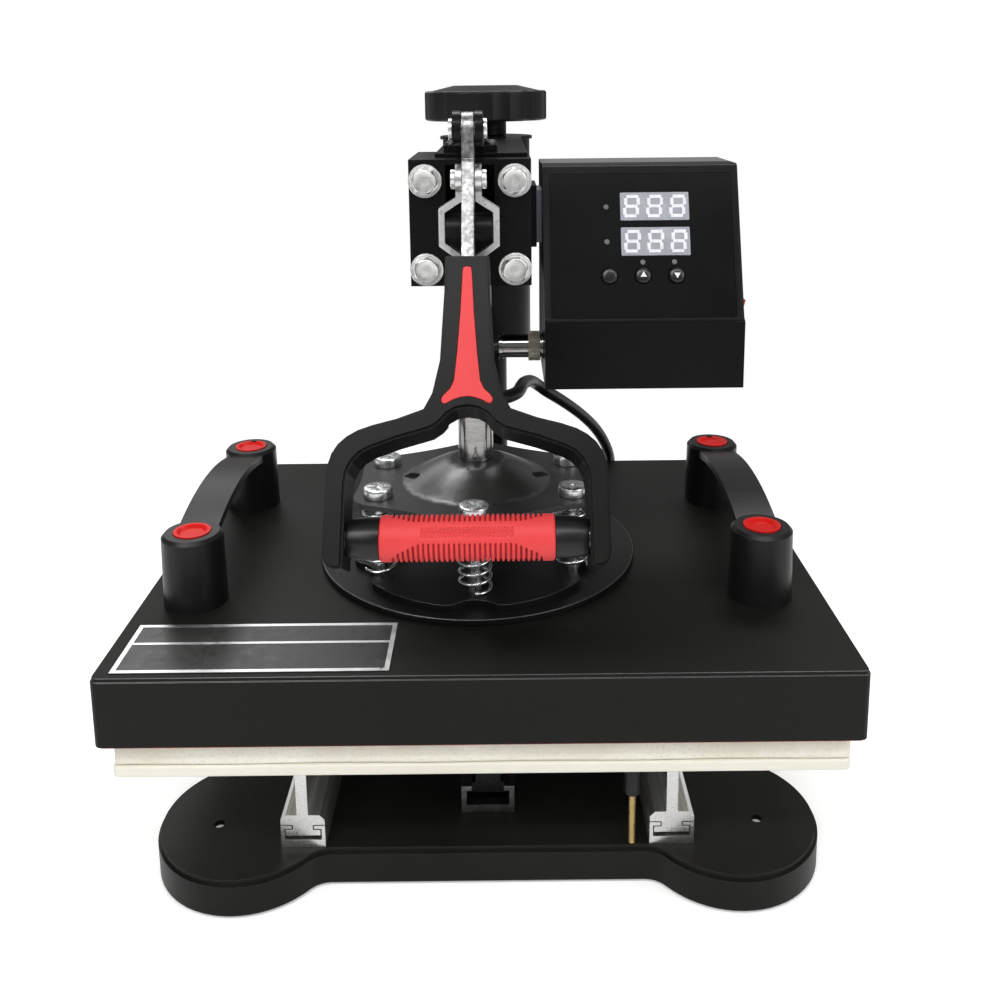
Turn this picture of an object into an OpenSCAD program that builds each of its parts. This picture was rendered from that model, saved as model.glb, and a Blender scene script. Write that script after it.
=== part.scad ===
// Swing-away flat heat press with a toggle lever, a pull-out lower table on rails
// and a control box. All sizes in millimetres, +Z up, -Y towards the operator.
// The origin is the middle of the outline on the surface it stands on.

/* [Base] */
// Sideways place of the round front lobes' centres
lobe_x = 134; // [120:1:145]
// Radius of the front lobes
lobe_r = 50; // [44:1:54]
// Height of the base plate's top face
base_top = 22; // [18:1:26]
// Wall thickness of the pressed base
base_wall = 3; // [2:0.5:4]
// Sideways place of the bench holes
bench_hole_x = 150; // [140:1:158]
// Radius of the bench holes
bench_hole_r = 3; // [2:0.5:4]

/* [Rails and table] */
// Sideways place of the two side rails
rail_x = 99.5; // [90:0.5:110]
// Length of the side rails
rail_len = 262; // [200:1:270]
// Height of the side rails' channel
rail_h = 13; // [11:1:15]
// Thickness of the folded table plate
table_t = 6; // [4:1:8]
// Thickness of the silicone pad
pad_t = 12.2; // [10:0.2:12.8]
// Pad length from left to right
pad_w = 380; // [360:1:384]
// Pad depth from front to back
pad_d = 290; // [270:1:294]

/* [Platen] */
// Width of the platen cover
cover_w = 392; // [380:1:400]
// Depth of the platen cover
cover_d = 302; // [290:1:306]
// Height of the platen cover's underside
cover_z = 99; // [98.5:0.5:101]
// Height of the cover's folded side
cover_h = 38; // [30:1:42]
// Radius of the round plate on the cover
round_r = 98; // [90:1:100]

/* [Spring stack] */
// Depth offset of the front and rear shoulder bolts from the rod
bolt_far = 54; // [50:1:58]
// Sideways offset of the four side bolts from the rod
bolt_side = 57; // [52:1:60]
// Depth offset of the four side bolts from the rod
bolt_near = 26; // [22:1:30]
// Turns of each spring
spring_turns = 9; // [6:1:9]
// Spring wire radius
wire_r = 0.9; // [0.7:0.1:1.1]

/* [Head] */
// Sideways place of rod, toggle and head block
head_x = -6; // [-10:1:0]
// Width of the square head block
block_w = 67; // [62:1:72]
// Height of the head block
block_h = 70; // [66:1:72]
// Pitch of the four block bolts
block_pitch = 49; // [46:1:51]
// Radius of the press rod
rod_r = 10.5; // [9:0.5:12]
// Radius of the rear post
post_r = 14; // [12:0.5:16]
// Radius of the swing sleeve
sleeve_r = 33; // [28:1:34]

/* [Knob] */
// Radius of the pressure knob
knob_r = 46; // [40:1:48]
// Height of the knob's fluted skirt
knob_h = 22; // [18:1:24]
// Number of flutes round the knob
knob_flutes = 12; // [8:1:16]

/* [Lever] */
// Tilt of the handle from straight down at rest
lever_tilt = 30; // [28:1:32]
// Distance from pin to pin in the toggle
crank = 26; // [26:1:27]
// Radius of the three toggle pins
pin_r = 4; // [3:0.5:4]
// Half the handle's outer width
grip_half = 65; // [62:1:68]
// Distance down the lever to the grip's axis
grip_s = 194.5; // [190:0.5:198]
// Radius of the rubber grip
grip_r = 10.6; // [9:0.1:12]

/* [Control box] */
// Width of the control box
box_w = 112; // [100:1:116]
// Height of the control box
box_h = 131; // [120:1:135]
// Depth of the control box at its foot
box_d = 72; // [60:1:80]
// Travel of the panel buttons
button_travel = 1.2; // [0.8:0.1:1.5]

/* [Hidden] */

// Colours as the photo shows them.
satin_black = [0.10, 0.10, 0.11];
casting_black = [0.16, 0.16, 0.16];
zinc = [0.78, 0.79, 0.80];
chrome = [0.85, 0.86, 0.88];
aluminium = [0.76, 0.77, 0.78];
rubber_red = [0.80, 0.13, 0.15];
cream = [0.93, 0.92, 0.87];
brass = [0.76, 0.62, 0.33];
case_black = [0.17, 0.18, 0.18];

// Clearances: sliding faces, and bolts in their holes.
gap = 0.3;
hole_gap = 0.2;
eps = 0.01;

// Depth positions, y = 0 being the middle of the outline.
pin_y = -92;
rod_y = -35;
platen_x = -2;
platen_y = -14;
round_y = -19;
post_y = 161;
rail_y0 = -141;
base_back = 205;
foot_y = [-116, 165];
bench_hole_y = [-122, 167];

// Toggle heights: upper pin, link pin and crosshead pin stand in one line at rest.
pin_a_z = 404;
pin_b_z = pin_a_z - crank;
pin_c_z = pin_b_z - crank;
lever_z = 390;

// Heights up the press.
rim_z = 2;
pad_z = 84;
table_z = pad_z - table_t;
cover_top = cover_z + cover_h;
round_top = cover_top + 4;
seat_top = round_top + 4;
dome_rim = 190;
dome_t = 3;
dome_top = 204;
block_z = 317;
block_y0 = -71;
block_y1 = block_y0 + 72;
sleeve_z0 = 232;
sleeve_z1 = block_z + block_h;
knob_z = 401;

bolt_spots = [
    [0, -bolt_far], [bolt_side, -bolt_near], [bolt_side, bolt_near],
    [0, bolt_far], [-bolt_side, bolt_near], [-bolt_side, -bolt_near]
];

// ---------- shared shapes ----------

// Plate with rounded corners, standing on z = 0 and centred.
module rounded_slab(w, d, h, r) {
    linear_extrude(h) rounded_rect(w, d, r);
}

module rounded_rect(w, d, r) {
    square([w - 2 * r, d], center = true);
    square([w, d - 2 * r], center = true);
    for (sx = [-1, 1], sy = [-1, 1])
        translate([sx * (w / 2 - r), sy * (d / 2 - r)]) circle(r, $fn = 32);
}

// Round bar along X, centred.
module bar_x(r, len) {
    rotate([0, 90, 0]) cylinder(r = r, h = len, center = true, $fn = 48);
}

// The lever's own frame: y runs up the lever, z stands out of its front face.
module on_lever() {
    translate([head_x, pin_y, lever_z]) rotate([90 - lever_tilt, 0, 0]) children();
}

// ---------- base ----------

module base_outline() {
    offset(r = -14) offset(delta = 14) {
        for (s = [-1, 1]) {
            translate([s * lobe_x, foot_y[0]]) circle(lobe_r, $fn = 64);
            translate([s * 100, base_back - 40]) circle(40, $fn = 64);
        }
        polygon([
            [-120, -143], [120, -143], [140, -85], [100, base_back - 8],
            [-100, base_back - 8], [-140, -85]
        ]);
    }
}

post_bolt_spots = [for (a = [45:90:315]) [30 * cos(a), post_y + 30 * sin(a)]];
rail_screw_y = [-115, 95];
centre_screw_y = [-95, 85];
rail_w = 24;
rail_wall = 2;
rail_floor = 4.6;
rail_slot = 12;
centre_floor = 5;

// Shanks and heads of everything screwed down into the base plate.
module base_screw_shanks(grow) {
    for (p = post_bolt_spots)
        translate([p.x, p.y, base_top - 10]) cylinder(r = 4 + grow, h = 18, $fn = 32);
    for (s = [-1, 1], y = rail_screw_y)
        translate([s * rail_x, y, base_top - 8])
            cylinder(r = 2 + grow, h = 8.2 + rail_floor, $fn = 24);
    for (y = centre_screw_y)
        translate([0, y, base_top - 8])
            cylinder(r = 2 + grow, h = 8.2 + centre_floor, $fn = 24);
}

module base_plate() {
    color(satin_black) difference() {
        union() {
            translate([0, 0, rim_z])
                linear_extrude(base_top - rim_z - 3) base_outline();
            translate([0, 0, base_top - 3 - eps])
                linear_extrude(3 + eps) offset(r = -1.5) base_outline();
        }
        translate([0, 0, rim_z - 1])
            linear_extrude(base_top - rim_z + 1 - base_wall)
                offset(delta = -base_wall) base_outline();
        base_screw_shanks(hole_gap);
        for (s = [-1, 1], y = bench_hole_y)
            translate([s * (y < 0 ? bench_hole_x : 118), y, 0])
                cylinder(r = bench_hole_r, h = 40, $fn = 32);
    }
}

module base_feet() {
    color([0.08, 0.08, 0.08]) for (s = [-1, 1], y = foot_y)
        translate([s * (y < 0 ? lobe_x - 14 : 84), y, 0])
            cylinder(r = 15, h = base_top - base_wall, $fn = 48);
}

module base_screws() {
    color(zinc) {
        base_screw_shanks(0);
        for (p = post_bolt_spots) {
            translate([p.x, p.y, base_top + 8]) cylinder(r = 7, h = 5, $fn = 6);
            translate([p.x, p.y, base_top - 10]) cylinder(r = 7, h = 6, $fn = 6);
        }
        for (s = [-1, 1], y = rail_screw_y)
            translate([s * rail_x, y, base_top + rail_floor])
                cylinder(r = 3.5, h = 1, $fn = 24);
        for (y = centre_screw_y)
            translate([0, y, base_top + centre_floor]) cylinder(r = 3.5, h = 0.8, $fn = 24);
    }
}

// Bar of a constant section along the depth, its section drawn in x and z.
module along_y(y0, len) {
    translate([0, y0 + len, 0]) rotate([90, 0, 0]) linear_extrude(len) children();
}

// Section of an open channel with inward lips.
module channel_section(w, h, wall, bottom, slot) {
    difference() {
        translate([-w / 2, 0]) square([w, h]);
        translate([-w / 2 + wall, bottom]) square([w - 2 * wall, h - wall - bottom]);
        translate([-slot / 2, bottom]) square([slot, h]);
    }
}

module side_rails() {
    color(aluminium) difference() {
        for (s = [-1, 1])
            translate([s * rail_x, 0, base_top]) along_y(rail_y0, rail_len)
                channel_section(rail_w, rail_h, rail_wall, rail_floor, rail_slot);
        base_screw_shanks(hole_gap);
    }
}

centre_w = 30;
centre_h = 16.5;
centre_y0 = -115;

module centre_rail() {
    color([0.20, 0.20, 0.21]) difference() {
        translate([0, 0, base_top]) along_y(centre_y0, 220)
            channel_section(centre_w, centre_h, 3, centre_floor, 18);
        base_screw_shanks(hole_gap);
    }
}

// The swing post, turned from one bar with its bolted flange.
module post() {
    color(satin_black) difference() {
        union() {
            translate([0, post_y, base_top]) cylinder(r = 42, h = 8, $fn = 96);
            translate([0, post_y, base_top + 8]) cylinder(r1 = 22, r2 = post_r, h = 10, $fn = 64);
            translate([0, post_y, base_top]) cylinder(r = post_r, h = 350 - base_top, $fn = 64);
            translate([0, post_y, sleeve_z0 - 12]) cylinder(r = 22, h = 11.7, $fn = 64);
        }
        base_screw_shanks(hole_gap);
    }
}

// ---------- pull-out table ----------

slider_foot = 19;
slider_web = 6.3;

module slider_section() {
    foot_z = rail_floor + 2.4;
    neck_top = rail_h + 0.4;
    table_h = table_z - base_top;
    translate([-slider_foot / 2, foot_z])
        square([slider_foot, rail_h - rail_wall - 0.5 - foot_z]);
    translate([-rail_slot / 2 + 0.5, foot_z]) square([rail_slot - 1, neck_top - foot_z + 1]);
    translate([0, neck_top]) difference() {
        translate([-rail_w / 2, 0]) square([rail_w, 6]);
        for (s = [-1, 1])
            translate([s * rail_w / 2, 6]) rotate(45) square(4, center = true);
    }
    translate([-slider_web / 2, neck_top]) square([slider_web, table_h - neck_top]);
    translate([-rail_w / 2, table_h - 3]) square([rail_w, 3]);
}

module table_sliders() {
    color(aluminium) for (s = [-1, 1])
        translate([s * rail_x, 0, base_top]) along_y(rail_y0, rail_len - 6) slider_section();
}

module table_plate() {
    color(cream) translate([platen_x, platen_y, table_z])
        rounded_slab(pad_w, pad_d, table_t, 3);
}

module table_pad() {
    color(cream) translate([platen_x, platen_y, pad_z]) rounded_slab(pad_w, pad_d, pad_t, 4);
}

guide_len = 204;

module guide_block() {
    color([0.13, 0.13, 0.13]) translate([0, 0, base_top]) {
        along_y(centre_y0 + 8, guide_len) translate([-11, 6.4]) square([22, 6.6]);
        along_y(centre_y0 + 8, guide_len)
            translate([-7.5, 6.4]) square([15, table_z - base_top - 6.4]);
    }
}

lock_x = 78;
lock_split = 53;

module lock_pin() {
    color(brass) translate([lock_x, rail_y0 + 1, base_top + 0.8])
        cylinder(r = 2, h = lock_split + 12 - base_top - 0.8, $fn = 32);
}

module lock_sleeve() {
    color([0.10, 0.10, 0.10]) translate([lock_x, rail_y0 + 1, 0]) difference() {
        translate([0, 0, lock_split]) cylinder(r = 4.6, h = table_z - lock_split, $fn = 32);
        translate([0, 0, lock_split - 1]) cylinder(r = 2, h = 13, $fn = 32);
    }
}

// ---------- swinging head ----------

run = 0.05;
screw_r = 8;

module swing_sleeve() {
    color(satin_black) translate([0, post_y, 0]) difference() {
        translate([0, 0, sleeve_z0])
            cylinder(r = sleeve_r, h = sleeve_z1 - sleeve_z0, $fn = 96);
        translate([0, 0, sleeve_z0 - 1]) cylinder(r = post_r + run, h = 121, $fn = 96);
        translate([0, 0, sleeve_z0 + 16]) cylinder(r = 27, h = 90, $fn = 96);
        translate([0, 0, 340]) cylinder(r = screw_r + run, h = 60, $fn = 64);
    }
}

block_x0 = head_x - block_w / 2;
slot_w = 26.8;
slot_z0 = 346;
slot_z1 = 384;
bush_r = 15;
bolt_z = block_z + block_h / 2 - 1;
block_bolt_spots = [
    for (sx = [-1, 1], sz = [-1, 1])
        [head_x + sx * block_pitch / 2, bolt_z + sz * block_pitch / 2]
];

// Square block that guides the rod, with the hollow arm back to the sleeve.
module head_block() {
    color(satin_black) difference() {
        union() {
            translate([block_x0, block_y0, block_z])
                cube([block_w, block_y1 - block_y0, block_h]);
            translate([-30, block_y1 - 1, block_z + 5])
                cube([56, post_y - block_y1, block_h - 10]);
        }
        translate([-24, block_y1 - 14, block_z + 11])
            cube([44, post_y - block_y1 - 10, block_h - 22]);
        translate([0, post_y, 0]) cylinder(r = sleeve_r + 0.02, h = 500, $fn = 96);
        translate([head_x, rod_y, block_z - 1]) cylinder(r = bush_r, h = 40, $fn = 64);
        translate([head_x - slot_w / 2, block_y0 - 1, slot_z0])
            cube([slot_w, rod_y + 15 - block_y0, slot_z1 - slot_z0]);
        for (p = block_bolt_spots)
            translate([p.x, block_y0 - 1, p.y]) rotate([-90, 0, 0])
                cylinder(r = 4 + hole_gap, h = 11, $fn = 32);
    }
}

module guide_bush() {
    color(brass) translate([head_x, rod_y, block_z - 3]) difference() {
        union() {
            cylinder(r = bush_r - 0.03, h = slot_z0 - block_z + 2.5, $fn = 64);
            cylinder(r = bush_r + 3, h = 2.9, $fn = 64);
        }
        translate([0, 0, -1]) cylinder(r = rod_r + run, h = 60, $fn = 96);
    }
}

// The block's four flange bolts, the clevis screws and the control box's two bolts.
module block_bolts() {
    color(zinc) {
        for (p = block_bolt_spots)
            translate([p.x, block_y0, p.y]) rotate([90, 0, 0]) {
                cylinder(r = 9, h = 1.6, $fn = 64);
                translate([0, 0, 1.6]) cylinder(r = 7.9, h = 1.6, $fn = 64);
                translate([0, 0, 3.2]) cylinder(r = 7.2, h = 4.6, $fn = 6);
                translate([0, 0, -9]) cylinder(r = 4, h = 10, $fn = 32);
            }
        for (p = clevis_screws) translate([p.x, p.y, clevis_z]) {
            cylinder(r = 1.9, h = 5, $fn = 24);
            translate([0, 0, 4]) cylinder(r = 3.4, h = 2, $fn = 32);
        }
        for (z = box_bolt_z) translate([0, box_bolt_y, z]) rotate([0, 90, 0]) {
            translate([0, 0, head_x + block_w / 2 + 0.1]) cylinder(r = 2.4, h = 13, $fn = 24);
            translate([0, 0, box_x0 + case_t]) cylinder(r = 4.6, h = 2.6, $fn = 6);
        }
    }
}

cap_z = block_z + block_h;
cap_t = 2.4;

module top_cap() {
    color(satin_black) difference() {
        union() {
            translate([-26, -53, cap_z]) cube([52, post_y + 35, cap_t]);
            translate([0, post_y, cap_z]) cylinder(r = 35, h = cap_t, $fn = 96);
        }
        translate([0, post_y, cap_z - 1]) cylinder(r = screw_r + 0.5, h = 10, $fn = 64);
    }
}

ear_in = 3.6;
ear_t = 4.2;
clevis_z = cap_z + cap_t;
clevis_screws = [for (s = [-1, 1], y = [-44, -24]) [head_x + s * 11.2, y]];

// Two ears on a foot plate, standing on the cap and reaching out over the block.
module clevis() {
    color([0.22, 0.22, 0.22]) difference() {
        union() {
            for (s = [-1, 1])
                translate([head_x + s * (ear_in + ear_t / 2), 0, 0])
                    rotate([90, 0, 90]) linear_extrude(ear_t, center = true) ear_outline();
            translate([head_x - 15, -51, clevis_z]) cube([30, 34, 4]);
        }
        translate([head_x, pin_y, pin_a_z]) bar_x(pin_r + 0.02, 40);
        for (p = clevis_screws)
            translate([p.x, p.y, clevis_z - 1]) cylinder(r = 2, h = 8, $fn = 24);
    }
}

module ear_outline() {
    hull() {
        translate([pin_y, pin_a_z]) circle(9.6, $fn = 48);
        translate([-51, clevis_z + 3.6]) square([28, 12]);
    }
    translate([-51, clevis_z]) square([34, 6]);
}

module clevis_pin() {
    reach = ear_in + ear_t;
    color(zinc) translate([head_x, pin_y, pin_a_z]) {
        bar_x(pin_r, 2 * reach + 1);
        for (s = [-1, 1])
            translate([s * (reach + 1.2), 0, 0]) bar_x(5.6, 2.2);
    }
}

// ---------- control box ----------

box_x0 = 34.8;
box_x1 = box_x0 + box_w;
box_mid = (box_x0 + box_x1) / 2;
box_z0 = 257;
box_y1 = 17;
box_y0 = box_y1 - 89;
ledge_z = 296;
box_top_y = -39;
panel_y = box_y0 + 3;
box_z1 = 381;
panel_tilt = atan((box_top_y - panel_y) / (box_z1 - ledge_z - 2));
case_t = 2.4;
case_split = -21;
box_bolt_y = -13;
box_bolt_z = [342, 359];

// Side view of the case, with an inset for its hollow.
module box_profile(inset) {
    offset(delta = -inset) polygon([
        [box_y1, box_z0], [box_y0, box_z0], [box_y0, ledge_z - 1], [panel_y, ledge_z + 1],
        [box_top_y, box_z1 - 1], [box_top_y + 2, box_z1], [box_y1, box_z1]
    ]);
}

module box_solid(inset) {
    translate([box_x0 + inset, 0, 0]) rotate([90, 0, 90])
        linear_extrude(box_w - 2 * inset) box_profile(inset);
}

// The panel's own frame: x across, y up the slope, z out of the face.
module on_panel() {
    translate([box_mid, panel_y, ledge_z + 1]) rotate([90 - panel_tilt, 0, 0]) children();
}

panel_w = 104;
panel_l = 84;
panel_t = 1.2;
button_spots = [[-19, 24.4], [0, 24.4], [19, 24.4]];
led_spots = [[-20, 64.3], [-20, 44], [0, 32], [18, 32]];
window_spots = [[7.7, 64.4], [7.7, 44]];
button_r = 4.6;

// Holes through the front face for the heater socket, windows, lights and buttons.
module panel_cuts() {
    on_panel() {
        for (p = window_spots)
            translate([p.x, p.y, 0]) cube([39.4, 16.6, 20], center = true);
        for (p = led_spots)
            translate([p.x, p.y, -10]) cylinder(r = 1.7, h = 20, $fn = 24);
        for (p = button_spots)
            translate([p.x, p.y, -10]) cylinder(r = button_r + gap, h = 20, $fn = 48);
    }
}

module box_hollow() {
    difference() {
        box_solid(0);
        box_solid(case_t);
    }
}

socket_y = -47;
socket_z = 276.4;
barrel_r = 6.8;

// Rear half of the case, with the inlet, socket, bracket and switch openings.
module box_shell() {
    color(case_black) difference() {
        intersection() {
            box_hollow();
            translate([0, case_split + 50, 320]) cube([400, 100, 200], center = true);
        }
        translate([box_mid, box_y1, 284]) cube([28, 20, 21], center = true);
        for (z = box_bolt_z)
            translate([box_x0, box_bolt_y, z]) rotate([0, 90, 0])
                cylinder(r = 2.6, h = 10, center = true, $fn = 32);
    }
}

module box_front() {
    color(case_black) difference() {
        intersection() {
            box_hollow();
            translate([0, case_split - 50, 320]) cube([400, 100, 200], center = true);
        }
        panel_cuts();
        on_panel() translate([0, panel_l / 2, -panel_t])
            rounded_slab(panel_w, panel_l, 5, 3);
        translate([box_x0, socket_y, socket_z]) bar_x(6.1, 10);
        translate([box_x1, rocker_y, rocker_z]) cube([10, 20.4, 14.4], center = true);
    }
}

module control_panel() {
    color([0.14, 0.15, 0.15]) difference() {
        on_panel() translate([0, panel_l / 2, -panel_t])
            rounded_slab(panel_w - 0.3, panel_l - 0.3, panel_t - 0.1, 2.9);
        panel_cuts();
    }
}

module display_windows() {
    color([0.80, 0.81, 0.83]) on_panel() for (p = window_spots)
        translate([p.x, p.y, -1.5]) rounded_slab(39.2, 16.4, 2, 0.6);
}

// One seven-segment figure, all of its bars lit, leaning a little.
module figure_eight(w, h, t) {
    for (y = [-h / 2, 0, h / 2])
        translate([y * 0.12, y]) square([w - t * 0.2, t], center = true);
    for (sx = [-1, 1], sy = [-1, 1])
        translate([sx * w / 2 + sy * h * 0.03, sy * h / 4])
            square([t, h / 2 - t * 0.9], center = true);
}

module display_digits() {
    color([0.93, 0.94, 0.95]) on_panel() for (p = window_spots, i = [-1, 0, 1])
        translate([p.x + i * 13.2, p.y, 0.5]) linear_extrude(0.3) figure_eight(7.2, 11.3, 1.9);
}

module status_leds() {
    color([0.6, 0.6, 0.6]) on_panel() for (p = led_spots)
        translate([p.x, p.y, -4]) cylinder(r = 1.5, h = 4.6, $fn = 24);
}

module panel_button(i) {
    color([0.10, 0.10, 0.10]) on_panel()
        translate([button_spots[i].x, button_spots[i].y, -6]) {
            cylinder(r = button_r, h = 7.8, $fn = 48);
            cylinder(r = button_r + 1.4, h = 2, $fn = 48);
        }
}

module set_button() {
    panel_button(0);
}

module up_button() {
    panel_button(1);
}

module down_button() {
    panel_button(2);
}

module circuit_board() {
    color([0.10, 0.35, 0.20]) on_panel() {
        translate([0, 42, -14]) cube([94, 70, 1.6], center = true);
        for (p = window_spots)
            translate([p.x, p.y, -7.6]) cube([38, 15, 12.2], center = true);
        for (p = led_spots)
            translate([p.x, p.y, -13.5]) cylinder(r = 1.2, h = 9.5, $fn = 24);
        for (p = button_spots)
            translate([p.x, p.y, -13.5]) cylinder(r = 2.5, h = 6.2, $fn = 24);
        for (sx = [-1, 1], y = [12, 72])
            translate([sx * 43, y, -13.5]) cylinder(r = 2.5, h = 13.5 - case_t, $fn = 24);
    }
}

rocker_y = -50;
rocker_z = 299;

// Side view of the rocker's cap, as [out of the case, up].
rocker_side = [[-3.4, -5.8], [0.6, -5.8], [1.4, 0], [3, 5.8], [-3.4, 5.8]];

// Red rocker cap, which tips on the axle that runs through it along y.
module power_rocker() {
    color(rubber_red) translate([box_x1, rocker_y, rocker_z]) rotate([90, 0, 0]) {
        linear_extrude(18, center = true) polygon(rocker_side);
        cylinder(r = 1.3, h = 19.8, center = true, $fn = 32);
    }
}

module power_inlet() {
    color([0.08, 0.08, 0.08]) translate([box_mid, box_y1, 284]) difference() {
        union() {
            translate([0, 1, 0]) cube([44, 2, 26], center = true);
            translate([0, -9, 0]) cube([27.6, 20, 20.6], center = true);
        }
        translate([0, -6, 0]) difference() {
            cube([24, 17, 17], center = true);
            for (x = [-7, 0, 7])
                translate([x, -2, x == 0 ? 2 : -2]) cube([4, 14, 1.6], center = true);
        }
        translate([0, 0, 0]) cube([24, 7, 17], center = true);
        for (s = [-1, 1])
            translate([s * 18, 3, 0]) rotate([90, 0, 0])
                cylinder(r = 1.6, h = 3, center = true, $fn = 24);
    }
}

module box_bracket() {
    bx = head_x + block_w / 2;
    color([0.10, 0.10, 0.11]) difference() {
        translate([bx, -35, 333]) cube([31.6 - bx, 34, 36]);
        for (z = box_bolt_z)
            translate([0, box_bolt_y, z]) rotate([0, 90, 0]) cylinder(r = 2.6, h = 60, $fn = 32);
    }
}

module box_spacer() {
    color([0.42, 0.41, 0.46]) difference() {
        translate([31.6, -31, 335]) cube([box_x0 - 31.6, 30, 31]);
        for (z = box_bolt_z)
            translate([0, box_bolt_y, z]) rotate([0, 90, 0]) cylinder(r = 2.6, h = 60, $fn = 32);
    }
}

// ---------- heater lead ----------

plug_x0 = 8.8;
ring_x0 = 25.9;
ring_x1 = 32.8;

// Panel socket with its nut, and the plug's barrel that sits in it.
module heater_socket() {
    color(zinc) translate([0, socket_y, socket_z]) rotate([0, 90, 0]) {
        translate([0, 0, plug_x0]) cylinder(r = 7.5, h = 2.4, $fn = 48);
        translate([0, 0, plug_x0 + 2]) cylinder(r = barrel_r, h = 23, $fn = 48);
        translate([0, 0, 33.6]) cylinder(r = 7.8, h = box_x0 - 33.6, $fn = 48);
        translate([0, 0, 31]) cylinder(r = 5.9, h = 11, $fn = 48);
        translate([0, 0, box_x0 + case_t]) cylinder(r = 8, h = 3, $fn = 6);
    }
}

module coupling_ring() {
    color([0.74, 0.72, 0.62]) translate([0, socket_y, socket_z]) rotate([0, 90, 0])
        difference() {
            translate([0, 0, ring_x0]) cylinder(r = 8.7, h = ring_x1 - ring_x0, $fn = 64);
            translate([0, 0, ring_x0 - 1]) cylinder(r = barrel_r + run, h = 20, $fn = 64);
        }
}

cable_r = 4;
gland_x = 95;
gland_y = 148;
gland_z = 118;
gland_top = 127;
// Hand-laid route of the heater lead, from the plug's barrel down to the gland.
cable_route = [
    [plug_x0, socket_y, socket_z], [3.3, -47.8, 275.4], [-1.5, -49.2, 272.7],
    [-5.1, -50.6, 268.4], [-7, -51.4, 263.2], [-7, -51.8, 257.6], [-5.1, -51.6, 252.4],
    [-1.5, -50.8, 248.1], [3.3, -49.2, 245.4], [8.8, -46.4, 244.4], [14.6, -41.6, 244.2],
    [18.8, -35, 244], [21, -27, 243.6], [22.4, -16, 242.8], [24, -4, 241.2], [26.4, 8, 238.8],
    [28.6, 19, 236], [31.4, 30, 232], [35.6, 37.5, 227], [40.4, 44, 221.6], [51, 60, 210.4],
    [61, 76, 199], [70, 91, 187.6], [78, 105, 176], [85, 118, 163.6], [90.4, 130, 151],
    [93.6, 139, 140.6], [gland_x, 145, 133], [gland_x, gland_y, gland_top]
];

function unit(v) = v / norm(v);
function tangent(p, i) = unit(p[min(i + 1, len(p) - 1)] - p[max(i - 1, 0)]);

// Square-on direction at point i, carried along from the one before.
function side_way(p, i) = i == 0
    ? unit(cross(tangent(p, 0), [0, 0, 1]))
    : let (t = tangent(p, i), w = side_way(p, i - 1)) unit(w - (w * t) * t);

// Closed round tube swept along a list of points, with its end tangents given.
module tube_along(p, r, sides, way0, way1) {
    n = len(p);
    rings = [for (i = [0:n - 1])
        let (t = i == 0 ? way0 : i == n - 1 ? way1 : tangent(p, i),
             w = side_way(p, i), u = unit(w - (w * t) * t), v = cross(t, u))
        for (k = [0:sides - 1])
            p[i] + r * (u * cos(360 * k / sides) + v * sin(360 * k / sides))];
    walls = [for (i = [0:n - 2], k = [0:sides - 1])
        let (a = i * sides + k, b = i * sides + (k + 1) % sides)
        each [[a, a + sides, b], [b, a + sides, b + sides]]];
    first = [for (k = [1:sides - 2]) [0, k, k + 1]];
    last = [for (k = [1:sides - 2]) [(n - 1) * sides, (n - 1) * sides + k + 1, (n - 1) * sides + k]];
    polyhedron(points = rings, faces = concat(walls, first, last), convexity = 8);
}

module heater_cable() {
    color([0.07, 0.07, 0.07])
        tube_along(cable_route, cable_r, 12, [-1, 0, 0], [0, 0, -1]);
}

// Right-angle strain relief on the cover's back wall.
module cable_gland() {
    back = platen_y + cover_d / 2;
    color([0.09, 0.09, 0.09]) {
        translate([gland_x, back, gland_z]) rotate([-90, 0, 0])
            cylinder(r = 10.5, h = 2, $fn = 48);
        translate([gland_x, back - 1.3, gland_z]) rotate([-90, 0, 0])
            cylinder(r = 5, h = gland_y + 1.3 - back, $fn = 48);
        translate([gland_x, gland_y, gland_z - 7.5]) cylinder(r = 6.4, h = 13, $fn = 48);
        translate([gland_x, gland_y, gland_z + 5.5])
            cylinder(r1 = 6.4, r2 = 5, h = gland_top - gland_z - 5.5, $fn = 48);
    }
}

// ---------- pressure knob ----------

stem_r = 15.4;

module pressure_knob() {
    flute_r = 24;
    color([0.14, 0.14, 0.14]) translate([0, post_y, knob_z]) difference() {
        union() {
            linear_extrude(knob_h) offset(r = 3, $fn = 32) offset(r = -3, $fn = 32) difference() {
                circle(knob_r, $fn = 96);
                for (i = [0:knob_flutes - 1])
                    rotate(i * 360 / knob_flutes + 15)
                        translate([knob_r + flute_r - 1.3, 0]) circle(flute_r, $fn = 72);
            }
            translate([0, 0, knob_h - eps]) cylinder(r1 = knob_r - 5, r2 = knob_r - 22, h = 4, $fn = 96);
        }
        translate([0, 0, -1]) difference() {
            cylinder(r = knob_r - 8, h = knob_h - 5, $fn = 96);
            translate([0, 0, -1]) cylinder(r = 18, h = knob_h, $fn = 64);
        }
        translate([0, 0, -1]) cylinder(r = screw_r, h = 14, $fn = 64);
    }
}

// Screw that bears on the post, with the wide stem seen under the knob.
module knob_screw() {
    color([0.12, 0.12, 0.13]) translate([0, post_y, 0]) {
        translate([0, 0, 352]) cylinder(r = screw_r, h = knob_z + 12 - 352, $fn = 64);
        translate([0, 0, cap_z + cap_t + 0.4])
            cylinder(r = stem_r, h = knob_z - cap_z - cap_t - 0.4, $fn = 64);
    }
}

// ---------- toggle lever ----------

bar_t = 6.4;
neck_s = 60;
face_w = 13;
back_w = 16;

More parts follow.
